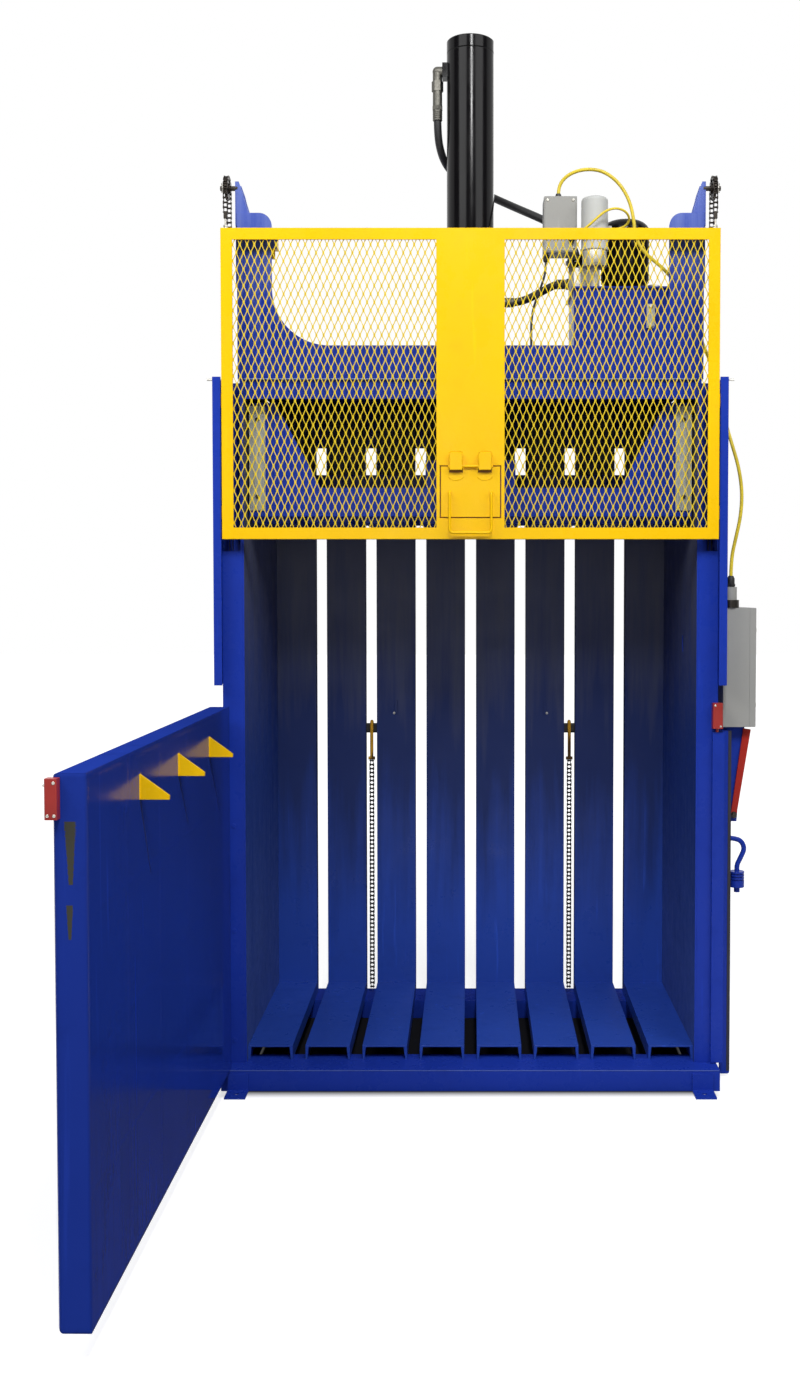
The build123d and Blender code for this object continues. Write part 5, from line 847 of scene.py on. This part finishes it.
# Fittings: bolts are (width over the corners, height), screws (radius, height), and turned
# forms (distance along, radius) pairs
HOSE_NUT, HUB_NUT, LEVER_NUT = (0.041, 0.016), (0.031, 0.010), (0.0185, 0.007)
COIL_NUT, FRONT_PLUG, TOP_PLUG, GAUGE_BOLT = (0.017, 0.007), (0.019, 0.007), (0.013, 0.008), (0.014, 0.006)
ROD_NUT, ROD_LOCKNUT = (0.0165, 0.0075), (0.0165, 0.0060)
COVER_SCREW, JUNCTION_SCREW, SWITCH_SCREW = (0.0055, 0.004), (0.0045, 0.003), (0.0035, 0.002)
VALVE_PLUG_HALF, VALVE_PLUG_HEIGHT = (0.015, 0.014), 0.026
VALVE_STEM = ((0, 0.009), (0.006, 0.009), (0.012, 0.006))
COIL_HEIGHT, VALVE_HEIGHT = 0.025, 0.050
COIL_CAP = ((0, 0.015), (0.004, 0.0165), (0.010, 0.0165), (0.012, 0.014))
HUB_GLAND = ((0, 0.013), (0.008, 0.013), (0.018, 0.0085))
LID_CATCH = ((0, 0.011), (0.003, 0.011), (0.004, 0.009), (0.004, 0.004), (0.002, 0.003))
CAP_RADIUS, CAP_SEAT = 0.0245, 0.025
CAP_KNURLS, KNURL_RADIUS, KNURL_LOW, KNURL_HIGH = 18, 0.0011, 0.029, 0.044
CAP = ((0.0, 0.0225), (0.003, 0.0245), (0.020, 0.0245), (0.024, 0.0225), (0.026, 0.016), (0.027, 0.006))
FERRULE_LENGTH, FERRULE_RADIUS, FERRULE_RIDGES = 0.034, 0.0175, 4
FERRULE_NECK, FERRULE_SINK, HOSE_NUT_SINK = 0.004, 0.001, 0.019
RIPPLE = 0.004

# Where fittings sit, in the machine's frame or from the edge of what carries them, and the
# sizes that only one of them has, in metres
PLUG_EASE, STEM_HEIGHT = 0.003, 0.014
COIL_OUT, COIL_NUT_OUT = 0.050, 0.061
FRONT_PLUG_STEP, FRONT_PLUG_HEIGHT = 0.028, 0.030
TOP_PLUGS = ((0.382, -0.155), (0.426, -0.155), (0.426, -0.091), (0.426, -0.056))
LID_SCREW_INSET, LID_SCREWS_X, LID_SCREWS_Y = 0.016, (0.455, 0.625), (-0.292, -0.044)
GAUGE_BOLT_OUT, GAUGE_BOLTS_Z = 0.0015, (2.578, 2.643)
JUNCTION_SCREWS_X, JUNCTION_SCREW_INSET = (0.266, 0.354), 0.014
GLANDS = ((CONTROL_CORD, 0.0105), (VALVE_CABLE, 0.0100), (VALVE_CORD, 0.0100))
GLAND_NUT_SINK, GLAND_NUT_HEIGHT, GLAND_SINK, HUB_NUT_DROP = 0.007, 0.006, 0.002, 0.020
CATCH_INSET, CATCH_BACK = 0.075, 0.022
CROSSBAR_SCREW_X, CROSSBAR_FACE, CROSSBAR_SCREW_Z = 0.302, 0.3908, 1.192
SWITCH_INSET, SWITCH_SCREW_DROP = 0.008, 0.078
ACTUATOR_RIGHT, ACTUATOR_LEFT, ACTUATOR_END = 0.006, 0.007, 0.009
ACTUATOR_PIN, ACTUATOR_PIN_DROP = (0.003, 0.007), 0.016
REST_PLATE_X, REST_PLATE_Z, REST_PLATE = (0.849, 0.943), (1.1995, 1.2117), 0.008
COTTER_RADIUS, COTTER_FOOT, COTTER_HEAD = 0.0016, 0.014, 0.012
EYE_RADIUS, EYE_HEIGHT, EYE_WIRE = 0.0032, 0.0145, 0.0014
STOP_NEAR, STOP_FAR, STOP_EASE = 0.0051, 0.0081, 0.0004
STOP_SIDE, STOP_FOOT, STOP_HEAD = 0.013, 0.019, 0.044

# Washers: inner and outer radius, and height
BEZEL, LEVER_WASHER = (0.0148, 0.0205, 0.003), (0.0064, 0.0115, 0.0022)
AXLE_WASHER, ROD_WASHER = (0.0082, 0.0135, 0.0025), (0.0042, 0.0120, 0.0022)


def add_weld(mesh, start, end, radius):
    """A rippled weld bead along a seam."""
    start, end = Vector(start), Vector(end)
    span = (end - start).length
    count = max(int(span / RIPPLE), 2)
    profile = [(0.0, radius * 0.5)]
    for k in range(count):
        profile.append((span * (k + 0.5) / count, radius * (1.0 if k % 2 else 0.78)))
    profile.append((span, radius * 0.5))
    add_lathe(mesh, start, end - start, profile, 8)


def add_arc_weld(mesh, centre, reach, turns, radius, across=ACROSS, count=9):
    """A rippled bead along an upright arc: reach is its half axes, turns its first and last angle."""
    centre, across = Vector(centre), Vector(across) * reach[0]
    up = Vector(UP) * reach[1]
    first, last = (math.radians(turn) for turn in turns)
    places = []
    for k in range(count + 1):
        angle = first + (last - first) * k / count
        places.append(centre + across * math.cos(angle) + up * math.sin(angle))
    for start, end in zip(places, places[1:]):
        add_weld(mesh, start, end, radius)


def add_screw(mesh, place, direction, radius, height):
    """A pan-head screw with a recessed middle."""
    rim = [(0.0, radius), (height * 0.55, radius), (height * 0.9, radius * 0.8)]
    recess = [(height, radius * 0.5), (height, radius * 0.36), (height * 0.45, radius * 0.3)]
    add_lathe(mesh, place, direction, rim + recess, 16)


def add_washer(mesh, place, direction, inner, outer, height):
    """A flat ring with an open middle, its rim eased."""
    ease = height * 0.3
    lower = [(0.0, inner), (0.0, outer), (height - ease, outer)]
    upper = [(height, outer - ease), (height, inner + ease), (height - ease, inner)]
    add_lathe(mesh, place, direction, lower + upper, 32, closed=True)


def leaving(end, beside):
    """The end of a route and the direction in which the route leaves it."""
    start = Vector(end)
    return start, (Vector(beside) - start).normalized()


def hose_fittings():
    """Ridged ferrules and nuts at both ends of both hoses."""
    step = (FERRULE_LENGTH - 2 * FERRULE_NECK) / FERRULE_RIDGES
    profile = [(0.0, FERRULE_RADIUS * 0.92), (0.002, FERRULE_RADIUS)]
    for k in range(FERRULE_RIDGES):
        low = FERRULE_NECK + k * step
        groove = (low + step * 0.35, FERRULE_RADIUS * 0.93)
        profile += [(low, FERRULE_RADIUS), groove, (low + step * 0.7, FERRULE_RADIUS)]
    profile += [(FERRULE_LENGTH - 0.003, FERRULE_RADIUS), (FERRULE_LENGTH, FERRULE_RADIUS * 0.86)]
    mesh = bmesh.new()
    for route in (PRESSURE_HOSE, RETURN_HOSE):
        for end, beside in (route[:2], route[:-3:-1]):
            start, out = leaving(end, beside)
            add_lathe(mesh, start - out * FERRULE_SINK, out, profile, 28)
            add_hex_bolt(mesh, start - out * HOSE_NUT_SINK, out, *HOSE_NUT)
    finish_piece("hose_ferrules", mesh, fitting_steel, "frame")


def valve_plugs():
    """Connector and coil caps of the valve on the tank's manifold."""
    half_x, half_y = VALVE_PLUG_HALF
    bottom = MANIFOLD_TOP + VALVE_HEIGHT
    low = (VALVE_X - half_x, VALVE_Y - half_y, bottom)
    high = (VALVE_X + half_x, VALVE_Y + half_y, bottom + VALVE_PLUG_HEIGHT)
    mesh = bmesh.new()
    add_block(mesh, low, high, PLUG_EASE)
    add_lathe(mesh, (VALVE_X, VALVE_Y - half_y, bottom + STEM_HEIGHT), FRONT, VALVE_STEM, 20)
    for side in (-1, 1):
        place = (VALVE_X + side * COIL_OUT, VALVE_Y, MANIFOLD_TOP + COIL_HEIGHT)
        add_lathe(mesh, place, (side, 0, 0), COIL_CAP, 24)
    finish_piece("valve_plugs", mesh, rubber, "frame")


def tank_fasteners():
    """Coil nuts, plugs of the manifold, lid screws and gauge bolts of the oil tank."""
    mesh = bmesh.new()
    for side in (-1, 1):
        place = (VALVE_X + side * COIL_NUT_OUT, VALVE_Y, MANIFOLD_TOP + COIL_HEIGHT)
        add_hex_bolt(mesh, place, (side, 0, 0), *COIL_NUT)
    for x in (VALVE_X - FRONT_PLUG_STEP, VALVE_X, VALVE_X + FRONT_PLUG_STEP):
        place = (x, MANIFOLD_FRONT, TANK_LID_TOP + FRONT_PLUG_HEIGHT)
        add_hex_bolt(mesh, place, FRONT, *FRONT_PLUG)
    for x, y in TOP_PLUGS:
        add_hex_bolt(mesh, (x, y, MANIFOLD_TOP), UP, *TOP_PLUG)
    for x in (TANK_LOW.x + LID_SCREW_INSET, *LID_SCREWS_X, TANK_HIGH.x - LID_SCREW_INSET):
        for y in LID_SCREWS_Y:
            add_screw(mesh, (x, y, TANK_LID_TOP), UP, *COVER_SCREW)
    for z in GAUGE_BOLTS_Z:
        add_hex_bolt(mesh, (GAUGE_X, TANK_LOW.y - GAUGE_BOLT_OUT, z), FRONT, *GAUGE_BOLT)
    finish_piece("tank_fasteners", mesh, zinc, "frame")


def breather_cap():
    """Knurled breather cap on the tank's lid."""
    mesh = bmesh.new()
    add_lathe(mesh, (*BREATHER, TANK_LID_TOP + CAP_SEAT), UP, CAP, 36)
    foot, head = TANK_LID_TOP + KNURL_LOW, TANK_LID_TOP + KNURL_HIGH
    for k in range(CAP_KNURLS):
        angle = 2 * math.pi * k / CAP_KNURLS
        x, y = BREATHER[0] + CAP_RADIUS * math.cos(angle), BREATHER[1] + CAP_RADIUS * math.sin(angle)
        add_rod(mesh, (x, y, foot), (x, y, head), KNURL_RADIUS, 6)
    finish_piece("breather_cap", mesh, zinc, "frame")


def box_fittings():
    """Screws of the junction box, glands of the cords, lid catches and button bezels."""
    mesh = bmesh.new()
    for x in JUNCTION_SCREWS_X:
        for z in (JUNCTION_LOW + JUNCTION_SCREW_INSET, JUNCTION_HIGH - JUNCTION_SCREW_INSET):
            add_screw(mesh, (x, JUNCTION_FACE, z), FRONT, *JUNCTION_SCREW)
    finish_piece("junction_screws", mesh, zinc, "frame")
    mesh = bmesh.new()
    for route, radius in GLANDS:
        start, out = leaving(*route[:2])
        add_hex_bolt(mesh, start - out * GLAND_NUT_SINK, out, radius * 2.3, GLAND_NUT_HEIGHT)
        gland = ((0, radius), (0.006, radius), (0.012, radius * 0.8))
        add_lathe(mesh, start - out * GLAND_SINK, out, gland, 20)
    x, y, z = CONTROL_CORD[-1]
    add_hex_bolt(mesh, (x, y, z - HUB_NUT_DROP), UP, *HUB_NUT)
    add_lathe(mesh, (x, y, z - GLAND_SINK), UP, HUB_GLAND, 24)
    finish_piece("cord_glands", mesh, rubber, "frame")
    mesh = bmesh.new()
    for z in (LID_LOW.z + CATCH_INSET, LID_HIGH.z - CATCH_INSET):
        add_lathe(mesh, (LID_HIGH.x - HAIR, LID_LOW.y + CATCH_BACK, z), ACROSS, LID_CATCH, 24)
    finish_piece("lid_catches", mesh, zinc, "lid")
    mesh = bmesh.new()
    for button in ("start_button", "stop_button"):
        middle = middle_of(button)
        add_washer(mesh, (LID_HIGH.x, middle.y, middle.z), ACROSS, *BEZEL)
    finish_piece("button_bezels", mesh, rubber, "lid")


def switch_fittings():
    """Screws of the door's switch, of the slats' crossbars and of the door's actuator."""
    low, high = corners("door_switch")
    mesh = bmesh.new()
    left, right, top = low.x + SWITCH_INSET, high.x - SWITCH_INSET, high.z - SWITCH_INSET
    for x, z in ((left, top), (right, high.z - SWITCH_SCREW_DROP)):
        add_screw(mesh, (x, low.y, z), FRONT, *SWITCH_SCREW)
    for x in (-CROSSBAR_SCREW_X, CROSSBAR_SCREW_X):
        add_screw(mesh, (x, CROSSBAR_FACE, CROSSBAR_SCREW_Z), FRONT, *COVER_SCREW)
    finish_piece("switch_screws", mesh, zinc, "frame")
    low, high = corners("door_actuator")
    right, left = high.x - ACTUATOR_RIGHT, low.x + ACTUATOR_LEFT
    top, bottom = (high.x - ACTUATOR_LEFT, high.z - ACTUATOR_END), low.z + ACTUATOR_END
    mesh = bmesh.new()
    for x, z in (top, (right, bottom), (left, bottom)):
        add_screw(mesh, (x, low.y + 0.0002, z), FRONT, *SWITCH_SCREW)
    place = (low.x, (low.y + high.y) / 2, high.z - ACTUATOR_PIN_DROP)
    add_screw(mesh, place, (-1, 0, 0), *ACTUATOR_PIN)
    finish_piece("actuator_screws", mesh, zinc, "door")


def lever_fittings():
    """Washer and nut of the latch lever, and the plate that closes the gap under the control box."""
    x, z = LEVER_PIVOT
    mesh = bmesh.new()
    add_washer(mesh, (x, LEVER_LOW.y - 0.0004, z), FRONT, *LEVER_WASHER)
    add_hex_bolt(mesh, (x, LEVER_LOW.y - 0.0028, z), FRONT, *LEVER_NUT)
    finish_piece("lever_nut", mesh, dark_steel, "frame")
    mesh = bmesh.new()
    face = LEVER_HIGH.y + 0.0003
    low, high = zip(REST_PLATE_X, (face, face + REST_PLATE), REST_PLATE_Z)
    add_block(mesh, low, high, 0.001)
    finish_piece("box_rest_plate", mesh, blue_paint, "frame")


def chain_fittings(side, name):
    """Washer and cotter pin of a sprocket's axle, and the nuts of the gate's chain rod."""
    low, high = corners(f"sprocket_{name}")
    centre = (low + high) / 2
    hub = high.x if side > 0 else low.x
    x, y, z = hub + side * 0.0066, centre.y, centre.z
    mesh = bmesh.new()
    add_washer(mesh, (hub + side * 0.0012, y, z), (side, 0, 0), *AXLE_WASHER)
    add_rod(mesh, (x, y, z - COTTER_FOOT), (x, y, z + COTTER_HEAD), COTTER_RADIUS, 8)
    eye = (x, y, z + EYE_HEIGHT)
    add_arc_weld(mesh, eye, (EYE_RADIUS, EYE_RADIUS), (-90, 270), EYE_WIRE, across=(0, 1, 0))
    finish_piece(f"axle_fittings_{name}", mesh, zinc, "frame")
    x, y, z = centre.x, centre.y - SPROCKET_RADIUS, GATE_HIGH.z
    mesh = bmesh.new()
    add_washer(mesh, (x, y, z), UP, *ROD_WASHER)
    add_hex_bolt(mesh, (x, y, z + 0.0022), UP, *ROD_NUT)
    add_hex_bolt(mesh, (x, y, z + 0.0099), UP, *ROD_LOCKNUT)
    finish_piece(f"rod_nuts_{name}", mesh, zinc, "gate")


def flap_stop():
    """Frame behind the gate's hatch that the flap closes against, in a brownish yellow: painted shade in the
    gap round the flap.
    """
    near, far = GATE_PANEL + STOP_NEAR, GATE_PANEL + STOP_FAR
    outer, foot, head = HATCH_HALF + STOP_SIDE, HATCH_BOTTOM - STOP_FOOT, HATCH_TOP + STOP_HEAD
    mesh = bmesh.new()
    for left, right in ((-outer, -HATCH_HALF), (HATCH_HALF, outer)):
        add_block(mesh, (left, near, foot), (right, far, head), STOP_EASE)
    for low, high in ((foot, HATCH_BOTTOM), (HATCH_TOP, head)):
        add_block(mesh, (-HATCH_HALF, near, low), (HATCH_HALF, far, high), STOP_EASE)
    finish_piece("flap_stop_frame", mesh, stop_shade_paint, "gate")


# Welds, and beads and strips of painted highlight and shade, with the radius of each bead
DOG_BEAD, EAR_BEAD, CROWN_BEAD, TONGUE_BEAD = 0.0032, 0.0017, 0.0018, 0.0019
SEAM_BEAD, ARM_BEAD, EDGE_BEAD = 0.0022, 0.004, 0.0015
# Arcs are (half width, half height) and (first, last) angle in degrees
EAR_WELD_Z, EAR_HALF_WIDTH, EAR_HALF_HEIGHT = 2.100, 0.0205, 0.028
EAR_GAP, EAR_ARC = 0.0055, (0.006, 0.022)
CROWN_ARC, CROWN_TURN = (EAR_HALF_WIDTH + 0.004, 0.010), (25, 155)
TONGUE_WELD_Z, TONGUE_ARC, TONGUE_TURN = 2.057, (0.025, 0.014), (190, 350)
ARM_WELD_X, ARM_WELD_Z, ARM_WELD_BACK = 0.777, (2.70, 2.925), 0.010
SEAM_HALF, SEAM_OUT = 0.76, 0.0004
EDGE_OUT, EDGE_DROP, EDGE_INSET = 0.0003, 0.0006, 0.002
STRIP_X, STRIP_Y = (FLANGE_TIP - 0.0110, FLANGE_TIP + 0.0004), (FLANGE_FRONT - 0.0008, FLANGE_FRONT + 0.0084)
STRIP_Z, STRIP_EASE = (0.0220, 1.1990), 0.0006


def door_welds():
    """Weld beads on both sides of each dog of the door."""
    mesh = bmesh.new()
    for middle in DOG_MIDDLES:
        for along in (middle - DOG_PLATE / 2, middle + DOG_PLATE / 2):
            foot = door_point(along, DOOR_FACE, DOG_BOTTOM)
            add_weld(mesh, foot, door_point(along, DOOR_FACE, DOG_BOTTOM + DOG_HEIGHT), DOG_BEAD)
    finish_piece("dog_welds", mesh, yellow_paint, "door")


def flap_welds():
    """Weld beads round the flap's ears on the gate and its tongues on the flap."""
    mesh = bmesh.new()
    for x in (-FLAP_EAR_X, FLAP_EAR_X):
        for side, turn in ((1, 0), (-1, 180)):
            centre = (x + side * (EAR_HALF_WIDTH + EAR_GAP), GATE_LOW.y, EAR_WELD_Z)
            add_arc_weld(mesh, centre, EAR_ARC, (turn + 100, turn + 260), EAR_BEAD)
        centre = (x, GATE_LOW.y, EAR_WELD_Z + EAR_HALF_HEIGHT)
        add_arc_weld(mesh, centre, CROWN_ARC, CROWN_TURN, CROWN_BEAD)
    finish_piece("ear_welds", mesh, yellow_paint, "gate")
    mesh = bmesh.new()
    for x in (-FLAP_EAR_X, FLAP_EAR_X):
        centre = (x, FLAP_FACE, TONGUE_WELD_Z)
        add_arc_weld(mesh, centre, TONGUE_ARC, TONGUE_TURN, TONGUE_BEAD, count=12)
    finish_piece("tongue_welds", mesh, yellow_paint, "flap")


def edge_highlights_and_shade():
    """Painted highlights on the header's lower seam and the base beam's top edge, and a strip of painted
    shade on the latch channel's flange.
    """
    # Painted highlight along the header's lower seam
    y = Y_FRONT - SEAM_OUT
    mesh = bmesh.new()
    add_weld(mesh, (-SEAM_HALF, y, FRAME_TOP), (SEAM_HALF, y, FRAME_TOP), SEAM_BEAD)
    finish_piece("header_seam", mesh, seam_highlight_paint, "frame")
    # Painted highlight along the base beam's top front edge
    y, z = BASE_FRONT + EDGE_OUT, BASE_HIGH.z - EDGE_DROP
    mesh = bmesh.new()
    add_weld(mesh, (BASE_LOW.x + EDGE_INSET, y, z), (BASE_HIGH.x - EDGE_INSET, y, z), EDGE_BEAD)
    finish_piece("base_edge_highlight", mesh, base_highlight_paint, "frame")
    # A dark strip on the latch channel's flange: painted shade
    mesh = bmesh.new()
    add_block(mesh, *zip(STRIP_X, STRIP_Y, STRIP_Z), STRIP_EASE)
    finish_piece("receiver_shade_strip", mesh, receiver_shade_paint, "frame")


def frame_welds():
    """Weld beads of the header's arms."""
    y = Y_FRONT + ARM_WELD_BACK
    mesh = bmesh.new()
    for x in (-ARM_WELD_X, ARM_WELD_X):
        foot, head = ((x, y, z) for z in ARM_WELD_Z)
        add_weld(mesh, foot, head, ARM_BEAD)
    finish_piece("frame_welds", mesh, blue_paint, "frame")


# Studio: overhead hall lamps in front of the machine, so the chamber darkens towards its top, as does the
# painted shade in its paint
FLOOR_HALF = 30.0
FLOOR_GLOW = 0.74
FLOOR_FADE = (2.0, 5.5)
FOOTPRINT, FOOTPRINT_EDGE = (0.80, 0.50), (0.94, 1.06)
FLAG_GREY = 0.05
SKY_BLUE = (0.90, 0.92, 0.96, 1.0)
SKY_STRENGTH = 0.24
# Each lamp: name, place, target, (width, height), power
LAMPS = (
    ("hall_middle", (0.4, -4.3, 5.2), (0.0, -0.3, 1.5), (0.5, 1.2), 140.0),
    ("hall_left", (-2.9, -3.7, 5.2), (0.0, -0.3, 1.5), (3.2, 2.6), 135.0),
    ("hall_right", (3.2, -3.5, 5.0), (0.0, -0.3, 1.5), (3.2, 2.6), 115.0),
    ("front_fill", (-0.4, -7.0, 2.4), (0.0, 0.0, 1.6), (1.6, 1.6), 34.0),
    ("back", (1.5, 4.5, 4.8), (0.0, 0.0, 2.6), (3.0, 3.0), 50.0),
)
# Dark sheets that only reflections see, behind and under the machine
CARDS = (
    ("card_back", ((-1.1, 0.9, 0.0), (1.1, 0.9, 0.0), (1.1, 0.9, 2.35), (-1.1, 0.9, 2.35))),
    ("card_floor", ((-0.9, -2.4, 0.004), (0.9, -2.4, 0.004), (0.9, 0.9, 0.004), (-0.9, 0.9, 0.004))),
)
CARD_HIDDEN = ("camera", "diffuse", "transmission", "volume_scatter", "shadow")
# Dark walls round the hall, in front and at both sides
FLAG_HEIGHT = 10.0
FLAGS = (
    ("flag_front", (-7.0, -8.5), (7.0, -8.5)),
    ("flag_left", (-7.0, -8.5), (-7.0, -0.5)),
    ("flag_right", (7.0, -8.5), (7.0, -0.5)),
)


def add_sheet(name, points, material, hidden=()):
    """A flat sheet of the studio, hidden from the named kinds of ray."""
    data = bpy.data.meshes.new(name)
    data.from_pydata(points, [], [(0, 1, 2, 3)])
    data.materials.append(material)
    sheet = bpy.data.objects.new(name, data)
    for ray in hidden:
        setattr(sheet, f"visible_{ray}", False)
    bpy.context.scene.collection.objects.link(sheet)


def background_rays(tree):
    """1 on the rays that show the white background: camera, glossy and transmission rays."""
    paths = add_node(tree, "ShaderNodeLightPath").outputs
    seen = math_node(tree, "MAXIMUM", paths["Is Camera Ray"], paths["Is Glossy Ray"])
    return math_node(tree, "MAXIMUM", seen, paths["Is Transmission Ray"])


def floor_material():
    """Pale floor that glows where rays see it, with painted shade under the machine: dark and without glow
    there.
    """
    material, tree, shader = new_material("studio_floor")
    shader.inputs["Roughness"].default_value = 1.0
    shader.inputs["Specular IOR Level"].default_value = 0.0
    seen = background_rays(tree)
    place = object_coordinates(tree)
    spread = add_node(tree, "ShaderNodeVectorMath", {0: place}, operation="LENGTH").outputs["Value"]
    level = remap(tree, spread, *FLOOR_FADE, FLOOR_GLOW, 1.0)
    share = {0: place, 1: (1 / FOOTPRINT[0], 1 / FOOTPRINT[1], 0.0)}
    shares = add_node(tree, "ShaderNodeVectorMath", share, operation="MULTIPLY").outputs[0]
    parts = add_node(tree, "ShaderNodeSeparateXYZ", {"Vector": shares}).outputs
    beyond = [math_node(tree, "ABSOLUTE", parts[axis]) for axis in ("X", "Y")]
    outside = remap(tree, math_node(tree, "MAXIMUM", *beyond), *FOOTPRINT_EDGE)
    # Painted shade under the footprint: a dark colour, and no glow
    base = blend_colours(tree, outside, FLOOR_PAINTED_SHADE, FLOOR_WHITE)
    tree.links.new(base, shader.inputs["Base Color"])
    strength = math_node(tree, "MULTIPLY", math_node(tree, "MULTIPLY", seen, outside), level)
    glow = add_node(tree, "ShaderNodeEmission", {"Color": WHITE, "Strength": strength})
    added = add_node(tree, "ShaderNodeAddShader", {0: shader.outputs["BSDF"], 1: glow.outputs["Emission"]})
    tree.links.new(added.outputs[0], tree.nodes["Material Output"].inputs["Surface"])
    return material


def build_sheets():
    """The floor, and the dark walls and cards round the machine."""
    half = FLOOR_HALF
    points = ((-half, -half, 0.0), (half, -half, 0.0), (half, half, 0.0), (-half, half, 0.0))
    add_sheet("studio_floor", points, floor_material())
    dark, _, shader = new_material("studio_flag")
    shader.inputs["Base Color"].default_value = (FLAG_GREY, FLAG_GREY, FLAG_GREY, 1.0)
    shader.inputs["Roughness"].default_value = 1.0
    for name, start, end in FLAGS:
        points = ((*start, 0.0), (*end, 0.0), (*end, FLAG_HEIGHT), (*start, FLAG_HEIGHT))
        add_sheet(name, points, dark, hidden=("camera",))
    for name, points in CARDS:
        add_sheet(name, points, dark, CARD_HIDDEN)


def build_sky():
    """A dim sky that lights the machine, white where it is seen."""
    world = bpy.data.worlds.new("studio")
    bpy.context.scene.world = world
    world.use_nodes = True
    tree = world.node_tree
    sky = tree.nodes["Background"]
    sky.inputs["Color"].default_value = SKY_BLUE
    sky.inputs["Strength"].default_value = SKY_STRENGTH
    surround = add_node(tree, "ShaderNodeBackground", {"Color": WHITE, "Strength": 1.0})
    inputs = {0: background_rays(tree), 1: sky.outputs["Background"], 2: surround.outputs["Background"]}
    mixed = add_node(tree, "ShaderNodeMixShader", inputs)
    tree.links.new(mixed.outputs[0], tree.nodes["World Output"].inputs["Surface"])


def build_lamps():
    """Soft rectangular lamps, each aimed at its target."""
    for name, place, target, size, power in LAMPS:
        light = bpy.data.lights.new(name, "AREA")
        light.shape = "RECTANGLE"
        light.size, light.size_y = size
        light.energy = power
        lamp = bpy.data.objects.new(name, light)
        lamp.location = place
        aim = Vector(target) - Vector(place)
        lamp.rotation_euler = aim.to_track_quat("-Z", "Y").to_euler()
        bpy.context.scene.collection.objects.link(lamp)


def build_camera():
    """The camera that was fitted to the photograph."""
    camera = bpy.data.cameras.new("camera")
    camera.sensor_fit = "VERTICAL"
    camera.sensor_height = SENSOR
    width, height = PHOTO_SIZE
    camera.lens = SENSOR * FOCAL_PIXELS / height
    camera.shift_x = (width / 2 - PRINCIPAL_POINT[0]) / height
    camera.shift_y = (PRINCIPAL_POINT[1] - height / 2) / height
    obj = bpy.data.objects.new("camera", camera)
    obj.location = (0.0, Y_FRONT - CAMERA_DISTANCE, CAMERA_HEIGHT)
    obj.rotation_euler = (math.pi / 2 + CAMERA_PITCH, 0.0, 0.0)
    bpy.context.scene.collection.objects.link(obj)
    bpy.context.scene.camera = obj


bpy.context.scene.view_settings.view_transform = "Standard"
build_camera()
build_sheets()
build_sky()
build_lamps()
for cord in CORDS:
    lay_cord(*cord)
dress_nodes()
expanded_panel("gate_mesh_left")
expanded_panel("gate_mesh_right")
ejector_chains()
gate_chain("left")
gate_chain("right")
hose_fittings()
valve_plugs()
tank_fasteners()
breather_cap()
box_fittings()
switch_fittings()
lever_fittings()
chain_fittings(-1, "left")
chain_fittings(1, "right")
flap_stop()
door_welds()
flap_welds()
edge_highlights_and_shade()
frame_welds()
